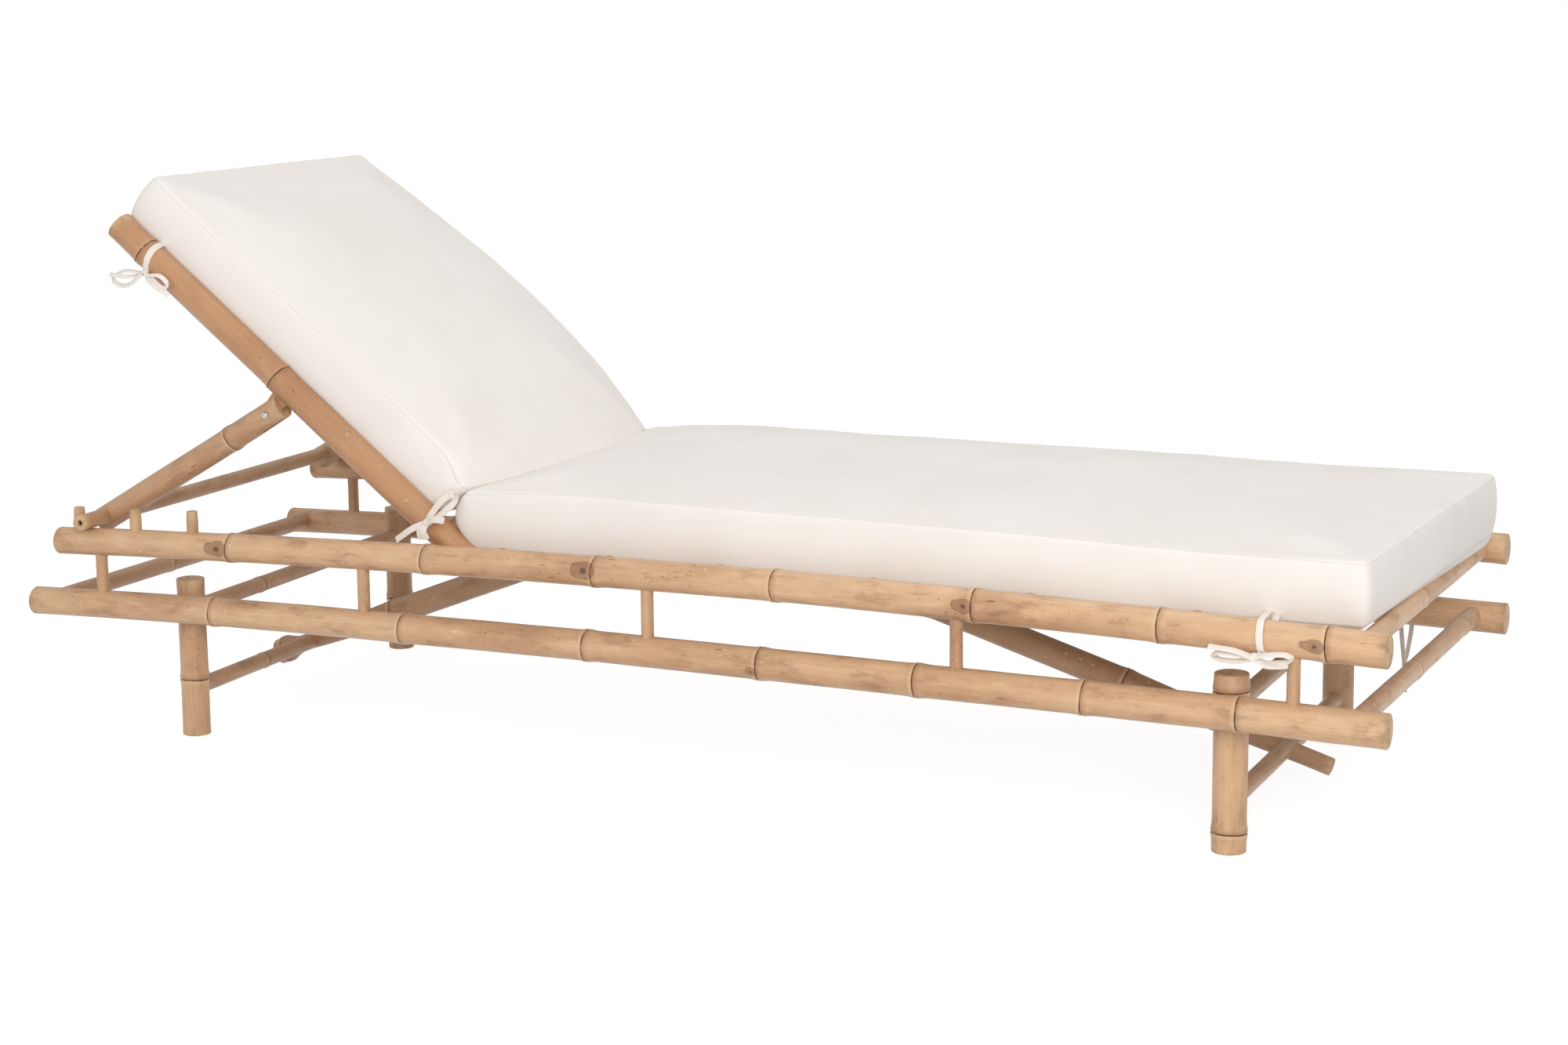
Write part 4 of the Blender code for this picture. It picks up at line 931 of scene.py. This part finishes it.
class Boxed:
    """A boxed cushion, flat round the origin: two panels and a strip round the sides."""

    def __init__(self, length, width, thickness):
        self.half = Vector((length / 2, width / 2, thickness / 2))
        self.bm = bmesh.new()
        self.seam = self.bm.verts.layers.float.new("seam")
        xs = grid_lines(self.half.x, round(length / CUSHION_PITCH))
        ys = grid_lines(self.half.y, round(width / CUSHION_PITCH))
        rims = [self.rim(self.panel(xs, ys, way)) for way in (1, -1)]
        self.strip(*rims)

    def panel(self, xs, ys, way):
        grid = []
        for x in xs:
            row = []
            for y in ys:
                inside = min(self.half.x - abs(x), self.half.y - abs(y), PANEL_EDGE[-1])
                fall = PANEL_FALL * (1 - inside / PANEL_EDGE[-1]) ** 2
                row.append(self.bm.verts.new((*self.in_plan(x, y), way * (self.half.z - fall))))
            grid.append(row)
        for a, b in zip(grid, grid[1:]):
            for i in range(len(ys) - 1):
                corners = (a[i], b[i], b[i + 1], a[i + 1])
                self.bm.faces.new(corners if way > 0 else corners[::-1])
        return grid

    def in_plan(self, x, y):
        """Pulls the square corners of the plan in to their radius."""
        dx = abs(x) - (self.half.x - CUSHION_CORNER_R)
        dy = abs(y) - (self.half.y - CUSHION_CORNER_R)
        if dx <= 0 or dy <= 0:
            return x, y
        pull = 1 - max(dx, dy) / math.hypot(dx, dy)
        return x - math.copysign(dx * pull, x), y - math.copysign(dy * pull, y)

    @staticmethod
    def rim(grid):
        right = [row[-1] for row in grid[1:-1]]
        left = [row[0] for row in reversed(grid[1:-1])]
        return grid[0] + right + list(reversed(grid[-1])) + left

    def strip(self, top, bottom):
        count = len(top)
        rings = [top]
        for share in STRIP_LEVELS:
            ring = []
            for i in range(count):
                ahead = top[(i + 1) % count].co - top[i - 1].co
                out = Vector((ahead.y, -ahead.x, 0)).normalized()
                out = out if out.dot(top[i].co) > 0 else -out
                place = top[i].co.lerp(bottom[i].co, share)
                bulge = STRIP_BULGE * math.sin(math.pi * share) ** 0.7
                ring.append(self.bm.verts.new(place + out * bulge))
            rings.append(ring)
        rings.append(bottom)
        bridge(self.bm, rings)
        for vert in top + bottom:
            vert[self.seam] = 1.0

    def object(self, name):
        mesh = mesh_of(name, self.bm)
        weave_uv(mesh)
        return new_object(name, mesh)


def weave_uv(mesh):
    """A UV map in metres, laid flat on each face from the side that it faces most."""
    layer = mesh.uv_layers.new(name="weave")
    for face in mesh.polygons:
        facing = [abs(c) for c in face.normal]
        skip = facing.index(max(facing))
        keep = [i for i in range(3) if i != skip]
        for loop in face.loop_indices:
            co = mesh.vertices[mesh.loops[loop].vertex_index].co
            layer.data[loop].uv = (co[keep[0]], co[keep[1]])


def inflate(piece, cap):
    """Puffs the cushion up between its seams, as cloth with air in it, by no more than cap."""
    rest = [vert.co.copy() for vert in piece.data.vertices]
    corner = (max(co.x for co in rest), max(co.y for co in rest))
    held = piece.vertex_groups.new(name="held")
    at_seam = [i for i, item in enumerate(piece.data.attributes["seam"].data) if item.value > 0.5]
    held.add(at_seam, 1.0, "REPLACE")
    cloth = piece.modifiers.new("cloth", "CLOTH")
    cloth.settings.vertex_group_mass = "held"
    cloth.settings.effector_weights.gravity = 0
    for key, value in CLOTH.items():
        setattr(cloth.settings, key, value)
    cloth.collision_settings.use_collision = False
    cloth.collision_settings.use_self_collision = False
    scene = bpy.context.scene
    for number in range(1, CLOTH_FRAMES + 1):
        scene.frame_set(number)
    evaluated = piece.evaluated_get(bpy.context.evaluated_depsgraph_get())
    moved = [vert.co.copy() for vert in evaluated.data.vertices]
    piece.modifiers.remove(cloth)
    scene.frame_set(1)
    for vert, before, after in zip(piece.data.vertices, rest, moved):
        step = after - before
        if step.length > 0:
            away = math.hypot(corner[0] - abs(before.x), corner[1] - abs(before.y))
            reach = cap * smoothstep(0.0, CORNER_CALM, away)
            vert.co = before + step * (reach * math.tanh(step.length / cap) / step.length)
    piece.data.update()


def crumple(piece, half, pucker):
    """Small puckers across the seams, and the slight unevenness of a filled cover.

    pucker holds their height at the seams on -X, +X, -Y and +Y.
    """
    normals = [vert.normal.copy() for vert in piece.data.vertices]
    for vert, normal in zip(piece.data.vertices, normals):
        x, y, z = vert.co
        depth = max(0.0, half.z - z) if normal.z < 0.6 else 0.0
        edges = ((x + half.x, y), (half.x - x, y), (y + half.y, x), (half.y - y, x))
        out = 0.0
        for i, (away, along) in enumerate(edges):
            reach = math.hypot(max(0.0, away), depth) / PUCKER_REACH
            wave = noise.noise(Vector((PUCKER_RATE * along, PUCKER_EDGE_STEP * i, 0.4)))
            fine = noise.noise(Vector((PUCKER_FINE_RATE * along, PUCKER_EDGE_STEP * i, 3.1)))
            out += pucker[i] * (wave + 0.5 * fine) * math.exp(-reach * reach)
        out += COVER_WAVE * noise.noise(vert.co * COVER_WAVE_RATE)
        out += COVER_RIPPLE * noise.noise(vert.co * COVER_RIPPLE_RATE)
        vert.co += normal * out
    piece.data.update()


def finish_cushion(piece, node, body):
    change = piece.modifiers.new("smooth", "SUBSURF")
    change.levels = 1
    baked(piece)
    piece.data.shade_smooth()
    piece.data.materials.append(FABRIC)
    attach(piece, body)
    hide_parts(node)


def soft_form(name, length, width, thickness, puff, pucker):
    """A cover, puffed up and puckered while it still lies flat, and half its size."""
    form = Boxed(length, width, thickness)
    piece = form.object(name)
    inflate(piece, puff)
    crumple(piece, form.half, pucker)
    return piece, form.half


def flat_place(co, half, hang_reach):
    """Where a point of a flat cushion is: its share along Y, its level and its hang.

    The level is 0 up to the lower seam and 1 at the upper seam. Inside the lower seam the hang
    grows from 0 to 1.
    """
    seam = half.z - PANEL_FALL
    level = (co.z + seam) / (2 * seam)
    inside = max(0.0, min(half.x - abs(co.x), half.y - abs(co.y)))
    hang = 1 - math.exp(-(inside / hang_reach) ** 2) if level < 0 else 0.0
    return (co.y + half.y) / (2 * half.y), max(0.0, level), hang


def seat_rest(x):
    """Where the seat cushion's underside lies: on its poles, and a little lower between them."""
    gap = min(abs(x - pole) for pole in SEAT_POLES)
    at_foot = SEAT_FOOT_REST * smoothstep(*SEAT_FOOT_REST_X, x)
    return rail_height(x) + SEAT_REST + at_foot - SEAT_SAG * smoothstep(*SEAT_SAG_FROM_POLE, gap)


def seat_place(co, half):
    """Where a point of the flat seat cushion lies on the lounger."""
    along = (co.x + half.x) / (2 * half.x)
    side, level, hang = flat_place(co, half, SEAT_HANG_REACH)
    foot = SEAT_FOOT_X[0] + (SEAT_FOOT_X[1] - SEAT_FOOT_X[0]) * side
    x = SEAT_HEAD_X + along * (foot - SEAT_HEAD_X)
    lift = smooth_line(SEAT_FAR_LIFT, x) * side
    top = smooth_line(SEAT_TOP_SEAM, x) + lift
    bottom = smooth_line(SEAT_BOTTOM_SEAM, x) + lift
    bottom += (seat_rest(x) - bottom) * hang
    heel = math.exp(-((x - SEAT_HEAD_X) / SEAT_HEEL_REACH) ** 2)
    rise = min(1.0, level)
    x -= heel * (SEAT_HEEL_LEAN * rise + SEAT_HEEL_BULGE * 4 * rise * (1 - rise))
    z = bottom + level * (top - bottom)
    return Vector((x, co.y, z - SEAT_HEAD_ROLL * heel * rise * (1 - side * side * 0.2)))


def make_seat_cushion():
    length = (SEAT_FOOT_X[0] + SEAT_FOOT_X[1]) / 2 - SEAT_HEAD_X
    piece, half = soft_form("seat_cushion_cover", length, SEAT_WIDTH, SEAT_THICKNESS, SEAT_PUFF,
                            SEAT_PUCKER)
    for vert in piece.data.vertices:
        vert.co = seat_place(vert.co, half)
    finish_cushion(piece, "seat_cushion", "frame")
    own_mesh(piece)


def back_place(co, half):
    """Where a point of the flat back cushion lies, as (distance up the back, across, above it)."""
    along = (half.x - co.x) / (2 * half.x)
    side, level, hang = flat_place(co, half, BACK_SAG_REACH)
    inner = max(0.0, 4 * side * (1 - side))
    up = BACK_START + along * (BACK_END - BACK_START)
    near = smooth_line(BACK_NEAR_SEAM, up, BACK_SEAM_REACH)
    far = smooth_line(BACK_FAR_SEAM, up, BACK_SEAM_REACH)
    top = near + (far - near) * side + inner ** 0.5 * smooth_line(BACK_CROWN, up)
    rest = BACK_REST - BACK_SAG * hang
    low_end = math.exp(-((up - BACK_START) / BACK_LIP_REACH) ** 2)
    lip = BACK_LIP * low_end * smoothstep(*BACK_LIP_LEVELS, level) * inner ** 0.4
    draw = BACK_CORNER_DRAW * low_end * (1 - inner ** 0.3)
    return Vector((up - lip + draw, co.y, rest + level * (top - rest)))


def tie_folds(piece, corner):
    """Folds in a cover that fan out from where a tie pulls on it."""
    normals = [vert.normal.copy() for vert in piece.data.vertices]
    for vert, normal in zip(piece.data.vertices, normals):
        away = vert.co - corner
        reach = away.length / TIE_FOLD_REACH
        if reach < 3:
            angle = math.atan2(away.z, abs(away.x) + 0.6 * abs(away.y) + 1e-6)
            fold = math.sin(TIE_FOLD_COUNT * angle + 2 * noise.noise(vert.co * 30))
            depth = reach * math.exp(1 - reach * 1.6)
            vert.co += normal * (TIE_FOLD * fold * depth)
    piece.data.update()


def make_back_cushion():
    piece, half = soft_form("back_cushion_cover", BACK_END - BACK_START, BACK_WIDTH,
                            BACK_THICKNESS, BACK_PUFF, BACK_PUCKER)
    for vert in piece.data.vertices:
        up, across, above = back_place(vert.co, half)
        vert.co = (-up, across, above)
    for sign in SIDES.values():
        tie_folds(piece, Vector((-BACK_TIE_PLACE, sign * half.y, BACK_TIE_HEIGHT)))
    turn = Matrix.Rotation(math.atan2(UP_BACK.z, -UP_BACK.x), 4, "Y")
    piece.matrix_world = Matrix.Translation(HINGE) @ turn
    finish_cushion(piece, "back_cushion", "back")


make_seat_cushion()
make_back_cushion()


# Ties


def spline(points, steps=7):
    """A smooth run of points through the given ones."""
    ends = [2 * points[0] - points[1]] + list(points) + [2 * points[-1] - points[-2]]
    run = []
    for a, b, c, d in zip(ends, ends[1:], ends[2:], ends[3:]):
        for i in range(steps):
            t = i / steps
            run.append(0.5 * (2 * b + (c - a) * t + (2 * a - 5 * b + 4 * c - d) * t * t
                              + (3 * b - a - 3 * c + d) * t ** 3))
    return run + [points[-1]]


class Tie:
    """A tie's tapes and knots, given as on the near side and mirrored on the far side."""

    def __init__(self, place, side):
        self.place = place
        self.side = side
        self.bm = bmesh.new()

    def on_side(self, point):
        return Vector((point[0], -SIDES[self.side] * point[1], point[2]))

    def tape(self, points, first, last, width=TAPE_WIDTH):
        """A flat tape along points, whose face turns from one direction to another."""
        half = width / 2
        section = [(-half, -0.5), (-0.9 * half, -1), (0.9 * half, -1), (half, -0.5),
                   (half, 0.5), (0.9 * half, 1), (-0.9 * half, 1), (-half, 0.5)]
        run = spline([self.on_side(point) for point in points])
        rings = []
        for i, point in enumerate(run):
            ahead = (run[min(i + 1, len(run) - 1)] - run[max(i - 1, 0)]).normalized()
            face = self.on_side(first).lerp(self.on_side(last), i / (len(run) - 1))
            side = ahead.cross(face).normalized()
            out = side.cross(ahead).normalized()
            curl = TAPE_CURL * TAPE_THICKNESS * math.sin(0.9 * i)
            rings.append([self.bm.verts.new(point + side * a + out * (b * TAPE_THICKNESS / 2 + curl))
                          for a, b in section])
        bridge(self.bm, rings)
        self.bm.faces.new(rings[0])
        self.bm.faces.new(rings[-1][::-1])

    def knot(self, place, across, size):
        """A knot: two short turns of tape wound over each other."""
        place = self.on_side(place)
        across = Vector(across).normalized()
        for tilt, share in KNOT_TURNS:
            axis = Matrix.Rotation(math.radians(tilt), 3, "Y") @ across
            first = axis.orthogonal().normalized()
            second = axis.cross(first)
            rings = []
            for k in range(KNOT_STEPS):
                angle = 2 * math.pi * k / KNOT_STEPS
                turn = first * math.cos(angle) + second * math.sin(angle)
                point = place + turn * (share * size)
                out = (point - place).normalized()
                rings.append([self.bm.verts.new(point + axis * a + out * b)
                              for a, b in KNOT_SECTION])
            bridge(self.bm, rings + rings[:1])

    def finish(self, body):
        name = f"tape_{self.place}_{self.side}"
        node = f"tie_{self.place}_{self.side}"
        mesh = mesh_of(name, self.bm, sharp=55)
        weave_uv(mesh)
        piece = add_piece(name, mesh, TAPE, body)
        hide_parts(node)


def make_foot_tie(side):
    tie = Tie("foot", side)
    middle = Vector((FOOT_TIE_X, 0, rail_height(FOOT_TIE_X)))
    x, y, z = middle.x, RAIL.start.y, middle.z
    radius = RAIL.radius(x - RAIL.start.x) + TAPE_THICKNESS
    lowest = Vector((x, y, z - radius))
    knot = lowest + Vector(FOOT_KNOT)
    wrap = [(x + FOOT_WRAP_DRIFT * (angle - 90), y + radius * math.cos(math.radians(angle)),
             z + radius * math.sin(math.radians(angle))) for angle in FOOT_WRAP]
    start = [middle + Vector(point) for point in FOOT_START]
    tie.tape([*start, *wrap, knot], (0, 0, 1), (0, -1, -0.4))
    under = [knot, *(lowest + Vector(step) for step in FOOT_UNDER), (x + FOOT_INNER_X, y + radius, z)]
    end = [middle + Vector(point) for point in FOOT_END]
    tie.tape([*under, *end], (0, 0, -1), (0, -1, 0.4))
    tie.knot(knot, (1, 0, 0.2), size=0.0052)
    front = knot + Vector(FOOT_BOW_OUT)
    runs, faces = (FOOT_BOW, BOW_FACES) if side == "near" else (FOOT_TAILS, TAIL_FACES)
    for run in runs:
        tie.tape([front + Vector(step) for step in run], *faces)
    tie.finish("frame")


def on_back(up, across, above):
    """A point given along, across and above the stiles' line."""
    out = Vector((UP_BACK.z, 0, -UP_BACK.x))
    return HINGE + UP_BACK * up + out * above + Vector((0, across, 0))


def make_head_tie(side):
    tie = Tie("head", side)
    wrap = [on_back(*point) for point in HEAD_WRAP]
    tie.tape(wrap, (0.6, 0, 0.8), (0, -1, -0.6))
    tie.tape([on_back(*point) for point in HEAD_WRAP_BACK], (0, -1, -0.6), (0.6, 0, 0.8))
    tie.knot(wrap[-1], (1, 0, 0.3), size=0.0046)
    for loop in HEAD_BOW:
        tie.tape([wrap[-1], *loop], (0, -0.5, 0.85), (0, -1, 0.45), HEAD_TAPE_WIDTH)
    tie.finish("back")


def make_hinge_tie(side):
    tie = Tie("hinge", side)
    strands = [(*run, HINGE_MEET) for run in HINGE_TO_MEET]
    strands += [(HINGE_MEET, *run) for run in HINGE_FROM_MEET]
    for strand in strands:
        tie.tape(strand, (0.3, -1, 0.2), (0, -1, 0.5), HINGE_TAPE_WIDTH)
    tie.knot(HINGE_GATHER, (0.75, 0.2, 0.6), size=0.0048)
    tie.knot(HINGE_KNOT, (0.6, 0, 0.7), size=0.0050)
    tie.finish("back")


for side_name in SIDES:
    make_foot_tie(side_name)
    make_head_tie(side_name)
    make_hinge_tie(side_name)


# Fork, lug and bolt of the prop


def cut_with(piece, bm, matrix):
    """Cuts a shape out of a piece."""
    mesh = mesh_of("cutter", bm)
    cutter = new_object("cutter", mesh)
    cutter.matrix_world = matrix
    cut = piece.modifiers.new("cut", "BOOLEAN")
    cut.object = cutter
    cut.solver = "EXACT"
    baked(piece)
    bpy.data.objects.remove(cutter)
    bpy.data.meshes.remove(mesh)


def bolt_place(side):
    """A bolt's middle, and half its length."""
    low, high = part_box(f"pivot_bolt_{side}")
    return (low + high) / 2, (high.y - low.y) / 2


def fork_strut(side):
    """Flattens the strut's cheeks round the bolt and cuts the slot for the lug."""
    piece = bpy.data.objects[f"strut_{side}_culm"]
    pivot, reach = bolt_place(side)
    axis = Line(f"strut_{side}").axis
    bolt_axis = Vector((0, 1, 0))
    under = axis.cross(bolt_axis)
    into = piece.matrix_world.inverted()
    for vert in piece.data.vertices:
        place = piece.matrix_world @ vert.co - pivot
        scoop = smoothstep(*STRUT_SCOOP, place.dot(axis) + STRUT_SCOOP_LEAN * place.dot(under))
        cheek = STRUT_CHEEK + (STRUT_PLAIN - STRUT_CHEEK) * (1 - scoop)
        if abs(place.y) > cheek:
            place.y = math.copysign(cheek + STRUT_ROUND * (abs(place.y) - cheek), place.y)
            vert.co = into @ (place + pivot)
    bm = bmesh.new()
    bmesh.ops.create_cube(bm, size=1.0)
    bmesh.ops.bevel(bm, geom=bm.edges, offset=STRUT_SLOT_CORNER, segments=2, affect="EDGES")
    for vert in bm.verts:
        vert.co = Vector((vert.co.x * 2 * STRUT_SLOT_Y, vert.co.y * STRUT_SLOT_SIZE,
                          (vert.co.z + 0.5) * STRUT_SLOT_SIZE - STRUT_SLOT_DEPTH))
    turn = Matrix((bolt_axis, under, axis)).transposed()
    cut_with(piece, bm, Matrix.Translation(pivot) @ turn.to_4x4())
    floor = reach - BOLT_HEAD_H - BOLT_WASHER_H
    for way in (1, -1):
        bm = bmesh.new()
        bmesh.ops.create_cone(bm, cap_ends=True, segments=BOLT_SIDES, radius1=STRUT_BORE_R,
                              radius2=STRUT_BORE_R, depth=STRUT_BORE_DEPTH)
        place = pivot + Vector((0, way * (floor + STRUT_BORE_DEPTH / 2), 0))
        cut_with(piece, bm, Matrix.Translation(place) @ Matrix.Rotation(math.pi / 2, 4, "X"))
    piece.data.set_sharp_from_angle(angle=math.radians(40))


def round_lug(side):
    """The lug under a stile, with its corners worn round."""
    node = frame["nodes"][f"lug_{side}"]
    mesh = node.data.copy()
    mesh.materials.clear()
    piece = add_piece(f"lug_{side}_worn", mesh, BAMBOO_BROWN, "back", node.matrix_world.copy())
    bm = bmesh.new()
    bm.from_mesh(mesh)
    bmesh.ops.remove_doubles(bm, verts=bm.verts, dist=0.00002)
    bmesh.ops.dissolve_limit(bm, angle_limit=math.radians(2), verts=bm.verts, edges=bm.edges)
    bm.to_mesh(mesh)
    bm.free()
    bevel = piece.modifiers.new("worn", "BEVEL")
    bevel.width = LUG_WEAR
    bevel.segments = 3
    bevel.limit_method = "ANGLE"
    bevel.angle_limit = math.radians(35)
    baked(piece)
    piece.data.shade_smooth()
    piece.data.set_sharp_from_angle(angle=math.radians(40))
    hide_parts(f"lug_{side}")


def make_bolt(side):
    """The bolt through fork and lug, with a domed head and a washer at each end."""
    middle, reach = bolt_place(side)
    face = reach - BOLT_HEAD_H - BOLT_WASHER_H
    domed = [(reach - BOLT_HEAD_H * (1 - math.cos(math.radians(angle))),
              BOLT_HEAD_R * math.sin(math.radians(angle))) for angle in BOLT_DOME]
    collar = [(face + BOLT_WASHER_H + 0.0002, 0.8 * BOLT_HEAD_R),
              (face + BOLT_WASHER_H, 0.86 * BOLT_HEAD_R),
              (face + BOLT_WASHER_H, BOLT_WASHER_R - 0.0003),
              (face + 0.5 * BOLT_WASHER_H, BOLT_WASHER_R), (face, BOLT_WASHER_R - 0.0002),
              (face, BOLT_SHANK_R)]
    outside = domed + collar
    profile = outside + [(-along, radius) for along, radius in reversed(outside)]
    bm = bmesh.new()
    rings = []
    for along, radius in profile:
        ring = []
        for i in range(BOLT_SIDES):
            angle = 2 * math.pi * i / BOLT_SIDES
            ring.append(bm.verts.new((radius * math.cos(angle), along, radius * math.sin(angle))))
        rings.append(ring)
    bridge(bm, rings)
    bm.faces.new(rings[0])
    bm.faces.new(rings[-1])
    mesh = mesh_of(f"bolt_{side}", bm, sharp=42)
    piece = add_piece(f"bolt_{side}", mesh, STEEL, body_of(f"pivot_bolt_{side}"),
                      Matrix.Translation(middle))
    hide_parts(f"pivot_bolt_{side}")


for side_name in SIDES:
    fork_strut(side_name)
    round_lug(side_name)
    make_bolt(side_name)


# Stage and light


def make_stage():
    g = Graph(bpy.data.materials.new("white_floor"))
    path = g.node("ShaderNodeLightPath")
    seen = g.math("MAXIMUM", path.outputs["Is Camera Ray"], path.outputs["Is Glossy Ray"])
    seen = g.math("MAXIMUM", seen, path.outputs["Is Transmission Ray"])
    plain = g.node("ShaderNodeBsdfDiffuse", {"Color": (0.75, 0.75, 0.75, 1)})
    lit = g.node("ShaderNodeBsdfDiffuse", {"Color": (0.30, 0.30, 0.30, 1)})
    glow = g.node("ShaderNodeEmission", {"Color": WHITE, "Strength": FLOOR_GLOW})
    both = g.node("ShaderNodeAddShader", {0: lit.outputs[0], 1: glow.outputs[0]})
    choice = g.node("ShaderNodeMixShader", {0: seen, 1: plain.outputs[0], 2: both.outputs[0]})
    g.node("ShaderNodeOutputMaterial", {0: choice.outputs[0]})
    mesh = bpy.data.meshes.new("floor")
    corners = [(-FLOOR_REACH, -FLOOR_REACH, 0), (FLOOR_REACH, -FLOOR_REACH, 0),
               (FLOOR_REACH, FLOOR_REACH, 0), (-FLOOR_REACH, FLOOR_REACH, 0)]
    mesh.from_pydata(corners, [], [(0, 1, 2, 3)])
    mesh.materials.append(g.owner)
    floor = new_object("floor", mesh)
    floor.location.z = -FLOOR_SUNK


def add_lamp(name, place, aim, size, watts, tone=(1, 1, 1)):
    data = bpy.data.lights.new(name, "AREA")
    data.shape = "RECTANGLE"
    data.size, data.size_y = size
    data.energy = watts
    data.color = tone
    lamp = new_object(name, data)
    lamp.location = place
    lamp.rotation_mode = "QUATERNION"
    lamp.rotation_quaternion = (Vector(aim) - Vector(place)).to_track_quat("-Z", "Y")


def make_world():
    world = bpy.data.worlds.new("studio")
    bpy.context.scene.world = world
    g = Graph(world)
    path = g.node("ShaderNodeLightPath")
    seen = g.math("MAXIMUM", path.outputs["Is Camera Ray"], path.outputs["Is Transmission Ray"])
    plain = g.node("ShaderNodeBackground", {"Color": WHITE, "Strength": WORLD_STRENGTH})
    white = g.node("ShaderNodeBackground", {"Color": WHITE, "Strength": 1.0})
    choice = g.node("ShaderNodeMixShader", {0: seen, 1: plain.outputs[0], 2: white.outputs[0]})
    g.node("ShaderNodeOutputWorld", {0: choice.outputs[0]})


make_stage()
make_world()
add_lamp("key", (2.5, -4.2, 2.1), (0.4, 0, 0.25), (2.6, 2.0), 118, (1.0, 0.988, 0.980))
add_lamp("fill", (-2.6, -3.6, 1.8), (-0.2, 0, 0.3), (2.0, 1.6), 14)
add_lamp("top", (0.2, 0.6, 3.6), (0, 0, 0), (3.0, 2.0), 22)
bpy.context.scene.view_settings.view_transform = "Standard"
